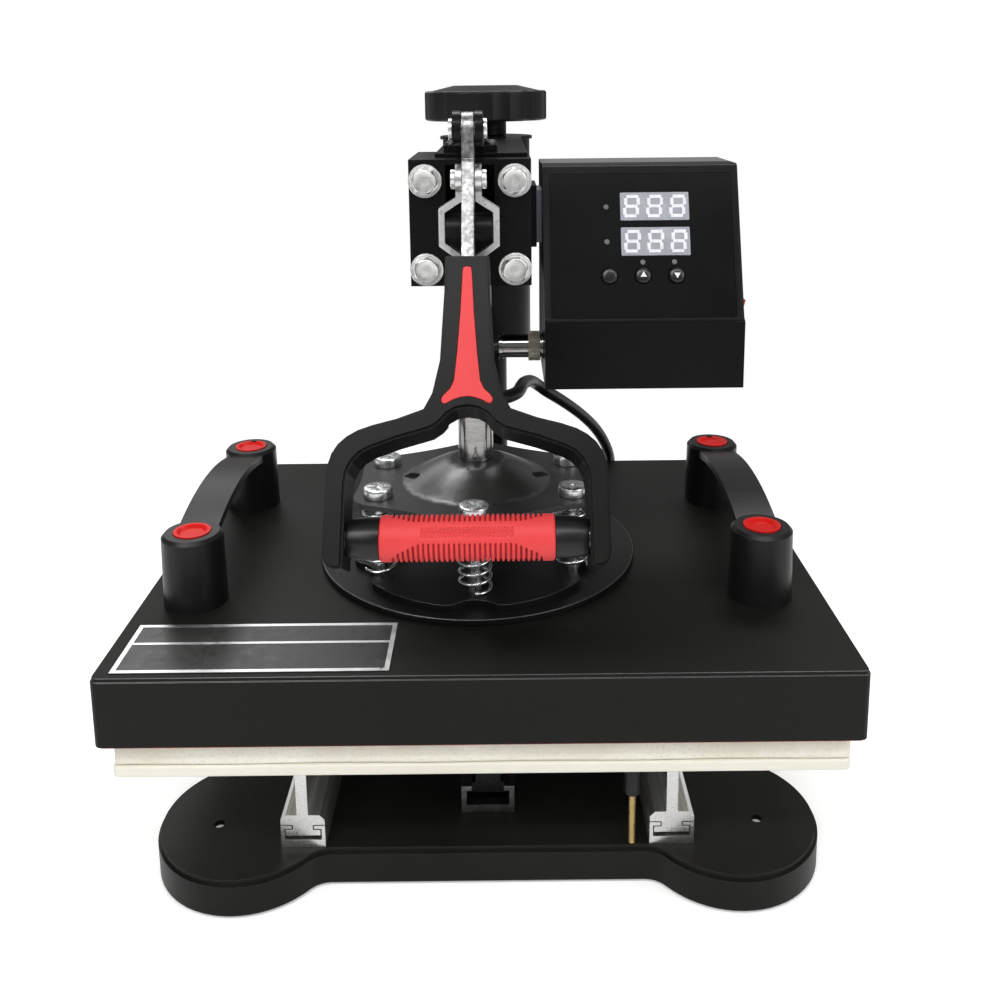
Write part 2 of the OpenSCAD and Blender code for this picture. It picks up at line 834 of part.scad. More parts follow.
// Half outline of the cast frame's outside, as [across, down the lever].
frame_outer = [
    [0, neck_s], [11, neck_s], [11.2, 78], [13, 113], [16.5, 129], [20.5, 136.5],
    [33, 141], [44, 143.8], [51, 146.2], [56, 149], [60, 152.6], [62.8, 157], [64.4, 162.2],
    [65, 168], [65, 202], [64.2, 205.4], [62.4, 207.6], [60, 208.5]
];
frame_inner = [
    [55.8, 208.5], [55.8, 171], [55.1, 165.6], [53, 161], [49.6, 157.4], [45, 154.8],
    [33, 150.5], [17, 146],
    [12.5, 143], [9, 139], [5, 136.8], [0, 136]
];

function mirrored(p) = [for (i = [len(p) - 1:-1:0]) [-p[i].x, p[i].y]];
function up_lever(p) = [for (q = p) [q.x, -q.y]];

// Outline of the cast frame: a neck that spreads into two arms.
module frame_outline() {
    half = concat(frame_outer, frame_inner);
    offset(r = 1.2, $fn = 24) offset(r = -1.2, $fn = 24)
        polygon(up_lever(concat(half, mirrored(half))));
}

module handle_frame() {
    color(casting_black) on_lever() difference() {
        union() {
            translate([0, 0, -back_w]) linear_extrude(back_w + face_w - 2) frame_outline();
            translate([0, 0, face_w - 2 - eps]) linear_extrude(2 + eps)
                offset(r = -1.2, $fn = 16) frame_outline();
        }
        translate([0, -neck_s - 11, 0]) cube([bar_t + 0.1, 24, 17], center = true);
        translate([0, -neck_s - 10, -back_w]) cube([200, 140, 8], center = true);
        translate([0, -grip_s, 0]) bar_x(6.03, 112.4);
        for (s = [-1, 1])
            translate([s * 60, -grip_s, 0]) bar_x(3.2, 14);
        translate([0, 0, inlay_w]) linear_extrude(20) offset(delta = 0.15) inlay_outline();
    }
}

// Half outline of the red inlay, as [across, down the lever].
inlay_w = 10.8;
inlay_half = [
    [0, 66], [2, 66.6], [2.3, 69], [3.3, 90], [4.8, 110], [6.2, 123.5], [8, 127.4],
    [10.9, 130.2], [12.1, 132.2], [11.8, 134], [10.3, 134.6], [7, 132.8], [3.5, 131.5], [0, 131]
];

module inlay_outline() {
    polygon(up_lever(concat(inlay_half, mirrored(inlay_half))));
}

module handle_inlay() {
    color(rubber_red) on_lever() translate([0, 0, inlay_w])
        linear_extrude(face_w - inlay_w + 0.3) inlay_outline();
}

// Flat shape in depth and height, cut from a plate of thickness t.
module side_plate(t) {
    translate([head_x, 0, 0]) rotate([90, 0, 90]) linear_extrude(t, center = true) children();
}

module lever_bar() {
    color(zinc) difference() {
        side_plate(bar_t) {
            hull() {
                translate([pin_y, pin_a_z]) circle(9, $fn = 48);
                translate([pin_y, pin_b_z]) circle(9, $fn = 48);
            }
            hull() for (d = [8, 70])
                translate([pin_y - d * sin(lever_tilt), lever_z - d * cos(lever_tilt)])
                    circle(8, $fn = 48);
        }
        translate([head_x, pin_y, pin_a_z]) bar_x(pin_r + run, 20);
        translate([head_x, pin_y, pin_b_z]) bar_x(pin_r + 0.02, 20);
    }
}

module link_pin() {
    color(zinc) translate([head_x, pin_y, pin_b_z]) {
        bar_x(pin_r, 18);
        for (s = [-1, 1])
            translate([s * 8.3, 0, 0]) bar_x(5.2, 2.4);
    }
}

module grip_bar() {
    color(zinc) on_lever() translate([0, -grip_s, 0]) {
        bar_x(6, 112.2);
        bar_x(3.1, 2 * grip_half - 0.4);
    }
}

sleeve_half = 40;

module grip_sleeve() {
    color(rubber_red) on_lever() translate([0, -grip_s, 0]) difference() {
        bar_x(grip_r, 2 * sleeve_half);
        bar_x(6.02, 100);
    }
}

module grip_ends() {
    color([0.10, 0.10, 0.10]) on_lever() translate([0, -grip_s, 0]) for (s = [-1, 1])
        rotate([0, s * 90, 0]) translate([0, 0, sleeve_half + 0.1]) difference() {
            cylinder(r1 = grip_r, r2 = 8.5, h = 15.4, $fn = 64);
            translate([0, 0, -1]) cylinder(r = 6.02, h = 20, $fn = 64);
        }
}

// ---------- toggle link ----------

// Outline of one bent strip, in x and z from the crosshead pin's middle.
strip_half = [
    [6.8, 26], [6.8, 16.6], [16, 10.6], [16, -8.8], [4.8, -17.2],
    [2.8, -14.7], [12.8, -7.2], [12.8, 8.9], [3.6, 14.8], [3.6, 26]
];

module link_strips() {
    color(zinc) translate([head_x, pin_y, pin_c_z]) for (s = [-1, 1])
        scale([s, 1, 1]) difference() {
            union() {
                rotate([90, 0, 0]) linear_extrude(10, center = true) polygon(strip_half);
                translate([5.2, 0, crank]) bar_x(8, 3.2);
            }
            translate([5.2, 0, crank]) bar_x(pin_r + run, 10);
            translate([14, 0, 0]) bar_x(pin_r + run, 10);
        }
}

// ---------- press rod and platen ----------

neck_z = pin_c_z + 0.8;
boss_half = 12.4;

// Crosshead: pin boss in front of the block, and its neck back through the slot.
module crosshead() {
    color(zinc) {
        translate([head_x, pin_y, pin_c_z]) {
            bar_x(7, 2 * boss_half);
            bar_x(pin_r, 32.4);
        }
        translate([head_x - boss_half, pin_y, neck_z])
            cube([2 * boss_half, rod_y + 12 - pin_y, 7.2]);
    }
}

module press_rod() {
    color(chrome) translate([head_x, rod_y, 0]) {
        translate([0, 0, dome_top]) cylinder(r = rod_r, h = neck_z - dome_top, $fn = 96);
        translate([0, 0, dome_top - 11]) cylinder(r = 6, h = 12, $fn = 48);
        translate([0, 0, dome_top - dome_t - 6]) cylinder(r = 9, h = 6, $fn = 6);
    }
}

// Dome's section from its rim to its top, as [out from the rod, height].
dome_curve = [[45.4, 190], [41, 191.9], [35, 195.4], [27, 199.6], [20, 202.6], [15, dome_top]];

module star_outline() {
    offset(r = -200, $fn = 240) offset(delta = 200) for (p = bolt_spots)
        translate(p) circle(14.5, $fn = 48);
}

module dome_plate() {
    color(satin_black) translate([head_x, rod_y, 0]) difference() {
        union() {
            rotate_extrude($fn = 96)
                polygon(concat([[6.2, dome_top - dome_t], [6.2, dome_top]],
                    [for (i = [len(dome_curve) - 1:-1:0]) dome_curve[i]],
                    [for (i = [0:len(dome_curve) - 1]) dome_curve[i] - [0, dome_t]]));
            translate([0, 0, dome_rim - dome_t]) linear_extrude(dome_t) difference() {
                star_outline();
                circle(45.4 - eps, $fn = 96);
            }
        }
        for (p = bolt_spots)
            translate([p.x, p.y, 180]) cylinder(r = 4 + hole_gap, h = 20, $fn = 32);
        for (s = [-1, 1])
            translate([s * 39, -1.5, 180]) rotate(-s * 30) {
                translate([-2.2, -6, 0]) cube([4.4, 12, 30]);
                for (e = [-6, 6])
                    translate([0, e, 0]) cylinder(r = 2.2, h = 30, $fn = 32);
            }
    }
}

module shoulder_bolts() {
    color(zinc) translate([head_x, rod_y, 0]) for (p = bolt_spots) translate([p.x, p.y, 0]) {
        translate([0, 0, dome_rim]) cylinder(r = 8.5, h = 6, $fn = 48);
        translate([0, 0, seat_top - 3]) cylinder(r = 4, h = dome_rim - seat_top + 4, $fn = 32);
    }
}

// Spring: one round tube wound up a helix, 8 rings a turn, 6 sides.
spring_r = 9.1;
spring_z0 = seat_top + 0.3 + wire_r;
spring_z1 = dome_rim - dome_t - 0.3 - wire_r;
spring_rings = 8 * spring_turns;
spring_pitch = (spring_z1 - spring_z0) / spring_turns;

function spring_at(i) = [
    spring_r * cos(45 * i), spring_r * sin(45 * i), spring_z0 + spring_pitch * i / 8
];
function spring_ring(i) =
    let (out = [cos(45 * i), sin(45 * i), 0],
         along = unit([-spring_r * sin(45 * i), spring_r * cos(45 * i), spring_pitch / 6.2832]),
         up = cross(out, along))
    [for (k = [0:5]) spring_at(i) + wire_r * (out * cos(60 * k) + up * sin(60 * k))];

spring_gap = min([for (i = [0:8], a = spring_ring(i), j = [6:10], b = spring_ring(i + j))
    norm(a - b)]);
echo(spring_gap = spring_gap);

module spring() {
    n = spring_rings + 1;
    points = [for (i = [0:n - 1]) each spring_ring(i)];
    walls = [for (i = [0:n - 2], k = [0:5])
        let (a = i * 6 + k, b = i * 6 + (k + 1) % 6)
        each [[a, b, a + 6], [b, b + 6, a + 6]]];
    first = [for (k = [1:4]) [0, k + 1, k]];
    last = [for (k = [1:4]) [(n - 1) * 6, (n - 1) * 6 + k, (n - 1) * 6 + k + 1]];
    polyhedron(points = points, faces = concat(walls, first, last), convexity = 10);
}

module springs() {
    color(chrome) translate([head_x, rod_y, 0]) for (p = bolt_spots)
        translate([p.x, p.y, 0]) spring();
}

// Seat plate with a notch facing each bolt.
module spring_seat() {
    color(satin_black) translate([head_x, rod_y, round_top]) difference() {
        linear_extrude(seat_top - round_top) offset(r = 9, $fn = 48) offset(r = -9, $fn = 48)
            difference() {
                circle(75, $fn = 120);
                for (p = bolt_spots)
                    rotate(atan2(p.y, p.x)) translate([83, 0]) circle(16, $fn = 48);
            }
        for (p = bolt_spots)
            translate([p.x, p.y, 1]) cylinder(r = 4 + 0.02, h = 10, $fn = 32);
    }
}

module round_plate() {
    color(satin_black) translate([head_x, round_y, cover_top])
        cylinder(r = round_r, h = round_top - cover_top, $fn = 160);
}

cover_wall = 1.5;

// Folded lid over the heat plate, open below.
module platen_cover() {
    color(satin_black) translate([platen_x, platen_y, 0]) difference() {
        union() {
            translate([0, 0, cover_z]) rounded_slab(cover_w, cover_d, cover_h - 2, 4);
            translate([0, 0, cover_z + cover_h - 2 - eps])
                rounded_slab(cover_w - 1.6, cover_d - 1.6, 2 + eps, 3.4);
        }
        translate([0, 0, cover_z - 1])
            rounded_slab(cover_w - 2 * cover_wall, cover_d - 2 * cover_wall,
                cover_h + 1 - cover_wall, 2.5);
        translate([gland_x - platen_x, cover_d / 2, gland_z]) rotate([90, 0, 0])
            cylinder(r = 5.2, h = 12, center = true, $fn = 48);
    }
}

heat_w = 384;
heat_d = 294;
heat_t = 9;
heat_z0 = 97;

module heat_plate() {
    color([0.30, 0.31, 0.32]) translate([platen_x, platen_y, heat_z0])
        rounded_slab(heat_w, heat_d, heat_t, 4);
}

// Insulation packed between the plate and the lid: its edge is the thin red line.
module insulation() {
    ins_z0 = heat_z0 + 0.6;
    ins_h = cover_top - cover_wall - ins_z0;
    color([0.62, 0.12, 0.12]) translate([platen_x, platen_y, 0]) difference() {
        translate([0, 0, ins_z0]) rounded_slab(cover_w - 3.4, cover_d - 3.4, ins_h, 2.3);
        translate([0, 0, ins_z0 - 1])
            rounded_slab(heat_w + 0.4, heat_d + 0.4, heat_z0 + heat_t - ins_z0 + 1, 4.2);
    }
}

hand_x = 162;
hand_mid = -4.7;
hand_y0 = -83;
hand_y1 = 59;
hand_h = 42;
hand_r = 18;

// Two carrying handles: a round post at each end and an arched strap between.
module carry_handles() {
    color([0.11, 0.11, 0.12]) for (s = [-1, 1]) translate([hand_mid + s * hand_x, 0, 0])
        difference() {
            union() {
                for (y = [hand_y0, hand_y1]) translate([0, y, cover_top]) {
                    cylinder(r1 = hand_r, r2 = hand_r - 0.8, h = hand_h - 2, $fn = 72);
                    translate([0, 0, hand_h - 2 - eps])
                        cylinder(r1 = hand_r - 0.8, r2 = hand_r - 2.6, h = 2, $fn = 72);
                }
                rotate([90, 0, 90]) linear_extrude(23, center = true) strap_side();
            }
            for (y = [hand_y0, hand_y1])
                translate([0, y, cover_top + hand_h - 3]) cylinder(r = 10.8, h = 9, $fn = 64);
        }
}

// Side view of the strap: a shallow arc of constant thickness.
module strap_side() {
    span = (hand_y1 - hand_y0) / 2 - 12;
    mid = (hand_y1 + hand_y0) / 2;
    rise = 8;
    arc_r = (span * span + rise * rise) / (2 * rise);
    steps = 16;
    z0 = cover_top + hand_h - 7.5;
    arc = [for (i = [0:steps]) let (y = -span + 2 * span * i / steps)
        [mid + y, z0 + sqrt(arc_r * arc_r - y * y) - (arc_r - rise)]];
    polygon(concat(arc, [for (i = [steps:-1:0]) arc[i] + [0, 5]]));
}

module handle_caps() {
    color(rubber_red) for (s = [-1, 1], y = [hand_y0, hand_y1])
        translate([hand_mid + s * hand_x, y, cover_top + hand_h - 3]) difference() {
            cylinder(r = 10.5, h = 3.6, $fn = 64);
            translate([0, 0, 2]) cylinder(r1 = 6.5, r2 = 9, h = 2, $fn = 64);
            if (y == hand_y1)
                translate([0, 10.5, 3]) cube([4, 5, 4], center = true);
        }
}

label_w = 141;
label_d = 47.5;

// Blank foil plate on the cover's front left corner: a border and one divider.
module label_plate() {
    color([0.72, 0.73, 0.74]) translate([-189, -160, cover_top]) difference() {
        cube([label_w, label_d, 0.6]);
        translate([2.5, 2.5, 0.35]) cube([label_w - 5, 24.5, 1]);
        translate([2.5, 29, 0.35]) cube([label_w - 5, label_d - 31.5, 1]);
    }
}

// ---------- every piece ----------

base_plate();
base_feet();
side_rails();
centre_rail();
base_screws();
post();
table_sliders();
table_plate();
table_pad();
guide_block();
lock_pin();
lock_sleeve();
swing_sleeve();
head_block();
block_bolts();
top_cap();
clevis();
clevis_pin();
guide_bush();
box_bracket();
box_spacer();
box_shell();
box_front();
control_panel();
display_windows();
display_digits();
status_leds();
circuit_board();
power_inlet();
heater_socket();
heater_cable();
pressure_knob();
knob_screw();
set_button();
up_button();
down_button();
power_rocker();
coupling_ring();
lever_bar();
handle_frame();
handle_inlay();
grip_bar();
grip_sleeve();
grip_ends();
link_pin();
link_strips();
press_rod();
crosshead();
dome_plate();
shoulder_bolts();
springs();
spring_seat();
round_plate();
platen_cover();
heat_plate();
insulation();
carry_handles();
handle_caps();
label_plate();
cable_gland();
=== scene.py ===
import math

import bpy
from mathutils import Matrix, Vector


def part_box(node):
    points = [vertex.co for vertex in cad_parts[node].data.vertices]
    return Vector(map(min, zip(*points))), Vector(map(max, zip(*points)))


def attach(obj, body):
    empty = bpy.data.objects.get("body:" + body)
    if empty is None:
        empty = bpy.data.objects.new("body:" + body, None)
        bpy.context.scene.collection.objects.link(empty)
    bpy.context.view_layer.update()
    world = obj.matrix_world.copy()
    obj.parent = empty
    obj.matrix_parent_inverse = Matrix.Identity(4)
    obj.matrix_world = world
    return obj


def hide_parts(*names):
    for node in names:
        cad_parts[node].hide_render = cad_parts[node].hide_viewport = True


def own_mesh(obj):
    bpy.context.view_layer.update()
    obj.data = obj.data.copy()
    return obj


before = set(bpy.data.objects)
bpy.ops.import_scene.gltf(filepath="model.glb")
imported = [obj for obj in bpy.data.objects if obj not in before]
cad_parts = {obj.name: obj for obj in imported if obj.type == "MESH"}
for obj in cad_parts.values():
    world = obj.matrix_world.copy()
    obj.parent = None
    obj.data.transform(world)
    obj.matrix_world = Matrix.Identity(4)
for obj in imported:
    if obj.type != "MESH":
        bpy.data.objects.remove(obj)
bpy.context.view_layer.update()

bpy.ops.object.select_all(action="DESELECT")

# ---- Camera and studio ----
# The press is photographed from just above its head, a little to the right of its middle,
# on a white sweep. Two broad soft boxes and a narrow strip hang in front of it, and a wide
# strip and a small card behind.
MM = 0.001
EYE = (11 * MM, -637 * MM, 425 * MM)
TILT_DOWN, LEAN = math.radians(10.5), math.radians(-0.6)
LENS, SENSOR_WIDTH = 37.33, 36
SHIFT_X, SHIFT_Y = -0.002, -0.22
ROOM_STRENGTH, PAPER_STRENGTH = 0.26, 0.3
FADE_NEAR, FADE_FAR = 0.3, 0.75

bpy.ops.object.camera_add(location=EYE)
camera = bpy.context.object
camera.name = "photo_camera"
camera.rotation_euler = (Matrix.Rotation(math.pi / 2 - TILT_DOWN, 3, "X")
                         @ Matrix.Rotation(LEAN, 3, "Z")).to_euler()
camera.data.sensor_width = SENSOR_WIDTH
camera.data.lens = LENS
camera.data.shift_x, camera.data.shift_y = SHIFT_X, SHIFT_Y
camera.data.clip_start, camera.data.clip_end = 0.05, 30
bpy.context.scene.camera = camera
bpy.context.scene.view_settings.view_transform = "Standard"


def lamp(name, place, aim, size, power):
    """A rectangular soft box at place, turned to face aim."""
    bpy.ops.object.light_add(type="AREA", location=place)
    light = bpy.context.object
    light.name = name
    light.rotation_euler = (Vector(aim) - Vector(place)).to_track_quat("-Z", "Y").to_euler()
    light.data.shape = "RECTANGLE"
    light.data.size, light.data.size_y = size
    light.data.energy = power


lamp("key_box", (-0.9, -1.3, 1.5), (0, 0, 0.2), (1.3, 0.9), 15)
lamp("fill_box", (1.5, -1.1, 1.0), (0, 0, 0.2), (1.0, 1.0), 10)
lamp("edge_strip", (0, -0.95, 1.4), (0, -0.1, 0.12), (1.7, 0.13), 11)
lamp("back_card", (-0.75, 1.4, 1.1), (-0.1, 0, 0.1), (0.7, 0.6), 2.5)
lamp("top_strip", (0.1, 0.75, 1.7), (0, 0, 0.2), (1.8, 0.5), 22)

world = bpy.data.worlds.new("white_room")
bpy.context.scene.world = world
world.use_nodes = True
tree = world.node_tree
tree.nodes.clear()
room_out = tree.nodes.new("ShaderNodeOutputWorld")
choose_light = tree.nodes.new("ShaderNodeMixShader")
room_glow = tree.nodes.new("ShaderNodeBackground")
room_glow.inputs["Color"].default_value = (1, 1, 1, 1)
room_glow.inputs["Strength"].default_value = ROOM_STRENGTH
white_wall = tree.nodes.new("ShaderNodeBackground")
white_wall.inputs["Color"].default_value = (1, 1, 1, 1)
ray = tree.nodes.new("ShaderNodeLightPath")
tree.links.new(ray.outputs["Is Camera Ray"], choose_light.inputs[0])
tree.links.new(room_glow.outputs[0], choose_light.inputs[1])
tree.links.new(white_wall.outputs[0], choose_light.inputs[2])
tree.links.new(choose_light.outputs[0], room_out.inputs[0])

bpy.ops.mesh.primitive_plane_add(size=8, location=(0, 0, 0))
floor = bpy.context.object
floor.name = "pale_floor"
paper = bpy.data.materials.new("white_paper")
paper.use_nodes = True
tree = paper.node_tree
sheet_shader = tree.nodes["Principled BSDF"]
sheet_shader.inputs["Base Color"].default_value = (0.88, 0.88, 0.88, 1)
sheet_shader.inputs["Roughness"].default_value = 0.9
sheet_shader.inputs["Specular IOR Level"].default_value = 0.1
seen_glow = tree.nodes.new("ShaderNodeEmission")
seen_glow.inputs["Strength"].default_value = PAPER_STRENGTH
far_white = tree.nodes.new("ShaderNodeEmission")
seen_sum = tree.nodes.new("ShaderNodeAddShader")
seen_far = tree.nodes.new("ShaderNodeMixShader")
seen_mix = tree.nodes.new("ShaderNodeMixShader")
ray = tree.nodes.new("ShaderNodeLightPath")
away = tree.nodes.new("ShaderNodeVectorMath")
away.operation = "LENGTH"
fade = tree.nodes.new("ShaderNodeMapRange")
fade.inputs["From Min"].default_value = FADE_NEAR
fade.inputs["From Max"].default_value = FADE_FAR
place = tree.nodes.new("ShaderNodeTexCoord")
tree.links.new(place.outputs["Object"], away.inputs[0])
tree.links.new(away.outputs["Value"], fade.inputs["Value"])
tree.links.new(fade.outputs["Result"], seen_far.inputs[0])
tree.links.new(ray.outputs["Is Camera Ray"], seen_mix.inputs[0])
tree.links.new(sheet_shader.outputs[0], seen_sum.inputs[0])
tree.links.new(seen_glow.outputs[0], seen_sum.inputs[1])
tree.links.new(seen_sum.outputs[0], seen_far.inputs[1])
tree.links.new(far_white.outputs[0], seen_far.inputs[2])
tree.links.new(sheet_shader.outputs[0], seen_mix.inputs[1])
tree.links.new(seen_far.outputs[0], seen_mix.inputs[2])
tree.links.new(seen_mix.outputs[0], tree.nodes["Material Output"].inputs["Surface"])
floor.data.materials.append(paper)

# ---- Heater lead ----
# Black silicone-jacketed lead from the plug on the control box, round in front of the rod
# and down to the gland on the lid's back wall. It rides with the head.
LEAD_R, LEAD_STEPS = 4 * MM, 4
LEAD_STOPS = [
    (8.8, -47, 276.4), (3.3, -47.8, 275.4), (-1.5, -49.2, 272.7), (-5.1, -50.6, 268.4),
    (-7, -51.4, 263.2), (-7, -51.8, 257.6), (-5.1, -51.6, 252.4), (-1.5, -50.8, 248.1),
    (3.3, -49.2, 245.4), (8.8, -46.4, 244.4), (14.6, -41.6, 244.2), (18.8, -35, 244),
    (21, -27, 243.6), (22.4, -16, 242.8), (24, -4, 241.2), (26.4, 8, 238.8), (28.6, 19, 236),
    (31.4, 30, 232), (35.6, 37.5, 227), (40.4, 44, 221.6), (51, 60, 210.4), (61, 76, 199),
    (70, 91, 187.6), (78, 105, 176), (85, 118, 163.6), (90.4, 130, 151), (93.6, 139, 140.6),
    (95, 145, 133), (95, 148, 127)]


def between(a, b, c, d, t):
    """Point at t from b to c on a smooth curve through a, b, c and d."""
    return 0.5 * (2 * b + (c - a) * t + (2 * a - 5 * b + 4 * c - d) * t * t
                  + (3 * b - a - 3 * c + d) * t ** 3)


stops = [Vector(p) * MM for p in LEAD_STOPS]
ends = [2 * stops[0] - stops[1]] + stops + [2 * stops[-1] - stops[-2]]
lead_line = [between(*ends[i:i + 4], k / LEAD_STEPS)
             for i in range(len(stops) - 1) for k in range(LEAD_STEPS)]
lead_line.append(stops[-1])


def only(piece):
    """Makes piece the one selected and active object."""
    bpy.ops.object.select_all(action="DESELECT")
    piece.select_set(True)
    bpy.context.view_layer.objects.active = piece


def tube(name, line, radius, resolution, sharp):
    """A round closed tube of that radius along the line of points, as a mesh."""
    curve = bpy.data.curves.new(name, "CURVE")
    curve.dimensions = "3D"
    spline = curve.splines.new("POLY")
    spline.points.add(len(line) - 1)
    for point, place in zip(spline.points, line):
        point.co = (*place, 1)
    curve.bevel_depth = radius
    curve.bevel_resolution = resolution
    curve.use_fill_caps = True
    piece = bpy.data.objects.new(name, curve)
    bpy.context.collection.objects.link(piece)
    only(piece)
    bpy.ops.object.convert(target="MESH")
    bpy.ops.object.shade_smooth_by_angle(angle=math.radians(sharp))
    return piece


def painted(piece, material):
    """Gives the piece this material in place of any it has."""
    piece.data.materials.clear()
    piece.data.materials.append(material)


def finish(name, colour, rough, metal=0.0, gloss=0.5, coat=0.0):
    """A Principled material with its plain values set; returns it with its tree."""
    material = bpy.data.materials.new(name)
    material.use_nodes = True
    shader = material.node_tree.nodes["Principled BSDF"]
    shader.inputs["Base Color"].default_value = (*colour, 1)
    shader.inputs["Roughness"].default_value = rough
    shader.inputs["Metallic"].default_value = metal
    shader.inputs["Specular IOR Level"].default_value = gloss
    shader.inputs["Coat Weight"].default_value = coat
    shader.inputs["Coat Roughness"].default_value = 0.12
    return material, material.node_tree, shader


def effect(name, numbers, outputs):
    """A new shader node group with number inputs and the outputs asked for."""
    group = bpy.data.node_groups.new(name, "ShaderNodeTree")
    for label, value in numbers.items():
        group.interface.new_socket(label, in_out="INPUT",
                                   socket_type="NodeSocketFloat").default_value = value
    for label, kind in outputs.items():
        group.interface.new_socket(label, in_out="OUTPUT", socket_type="NodeSocket" + kind)
    return group, group.nodes.new("NodeGroupInput"), group.nodes.new("NodeGroupOutput")


def ramp(tree, source, low, high, dark=0.0, light=1.0):
    """Maps source from low..high to dark..light, held at both ends."""
    node = tree.nodes.new("ShaderNodeMapRange")
    node.inputs["From Min"].default_value = low
    node.inputs["From Max"].default_value = high
    node.inputs["To Min"].default_value = dark
    node.inputs["To Max"].default_value = light
    tree.links.new(source, node.inputs["Value"])
    return node.outputs["Result"]


def cloud(tree, scale, detail=3.0, rough=0.5):
    """Soft noise on Object coordinates; scale is in cells per metre."""
    place = tree.nodes.new("ShaderNodeTexCoord")
    node = tree.nodes.new("ShaderNodeTexNoise")
    node.inputs["Detail"].default_value = detail
    node.inputs["Roughness"].default_value = rough
    tree.links.new(place.outputs["Object"], node.inputs["Vector"])
    if hasattr(scale, "is_output"):
        tree.links.new(scale, node.inputs["Scale"])
    else:
        node.inputs["Scale"].default_value = scale
    return node.outputs["Fac"]


def worked(tree, kind, first, second=0.0):
    """A maths node of that kind; each side is a number or a socket."""
    node = tree.nodes.new("ShaderNodeMath")
    node.operation = kind
    for socket, value in zip(node.inputs, (first, second)):
        if hasattr(value, "is_output"):
            tree.links.new(value, socket)
        else:
            socket.default_value = value
    return node.outputs[0]


def use(tree, group, **values):
    """Places an effect group in a material with its own values."""
    node = tree.nodes.new("ShaderNodeGroup")
    node.node_tree = group
    for label, value in values.items():
        node.inputs[label.replace("_", " ")].default_value = value
    return node


def two_tone(tree, mask, dark, light, shader):
    """Base Color going from dark to light by mask."""
    node = tree.nodes.new("ShaderNodeMix")
    node.data_type = "RGBA"
    node.inputs["A"].default_value = (*dark, 1)
    node.inputs["B"].default_value = (*light, 1)
    tree.links.new(mask, node.inputs["Factor"])
    tree.links.new(node.outputs["Result"], shader.inputs["Base Color"])


def bump(tree, height, shader, depth):
    """Surface relief of that depth in millimetres, feeding Normal."""
    node = tree.nodes.new("ShaderNodeBump")
    node.inputs["Distance"].default_value = depth * MM
    tree.links.new(height, node.inputs["Height"])
    tree.links.new(node.outputs["Normal"], shader.inputs["Normal"])


# Skin: fine grain with slow changes of gloss, for coats, castings and mouldings.
skin, skin_in, skin_out = effect("fine_skin", {
    "Grain Scale": 900, "Drift Scale": 9, "Rough Low": 0.4, "Rough High": 0.5},
    {"Height": "Float", "Rough": "Float", "Drift": "Float"})
grain = cloud(skin, skin_in.outputs["Grain Scale"], 2, 0.6)
drift = cloud(skin, skin_in.outputs["Drift Scale"], 4, 0.55)
drift = ramp(skin, drift, 0.3, 0.7)
spread = worked(skin, "SUBTRACT", skin_in.outputs["Rough High"], skin_in.outputs["Rough Low"])
gloss_now = worked(skin, "ADD", worked(skin, "MULTIPLY", drift, spread),
                   skin_in.outputs["Rough Low"])
skin.links.new(grain, skin_out.inputs["Height"])
skin.links.new(gloss_now, skin_out.inputs["Rough"])
skin.links.new(drift, skin_out.inputs["Drift"])


def coated(name, dark, light, rough, grain_scale=900, depth=0.04, gloss=0.5, coat=0.0):
    """A grained finish: two near colours, roughness from rough[0] to rough[1], grain_scale
    in cells per metre and relief in millimetres."""
    material, tree, shader = finish(name, light, rough[0], gloss=gloss, coat=coat)
    grit = use(tree, skin, Grain_Scale=grain_scale, Rough_Low=rough[0], Rough_High=rough[1])
    two_tone(tree, grit.outputs["Drift"], dark, light, shader)
    tree.links.new(grit.outputs["Rough"], shader.inputs["Roughness"])
    bump(tree, grit.outputs["Height"], shader, depth)
    return material


lead = tube("heater_lead", lead_line, LEAD_R, 6, 50)
lead_rubber = coated("silicone_jacket", (0.005, 0.005, 0.005), (0.009, 0.009, 0.009),
                     (0.34, 0.46), 1400, 0.02, gloss=0.35)
painted(lead, lead_rubber)
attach(lead, "head")
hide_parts("heater_cable")
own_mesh(lead)

# ---- Base plate and feet ----
# Pressed steel tray with two round front lobes, satin black powder coat, its edge rolled
# over all round, with a highlight painted on it as a lighter finish. It stands on four
# rubber pucks; four bench holes go through it.
MERGE_WITHIN, FLAT_WITHIN = 0.01 * MM, math.radians(0.8)


def fixed_on(piece, body, slot, *nodes):
    """Rides the body and stands for the nodes; slot is not used."""
    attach(piece, body)
    if nodes:
        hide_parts(*nodes)


def second_finish(piece, material, chosen):
    """Adds a second finish to the piece, on the faces that chosen picks."""
    piece.data.materials.append(material)
    for face in piece.data.polygons:
        face.material_index = int(chosen(face))


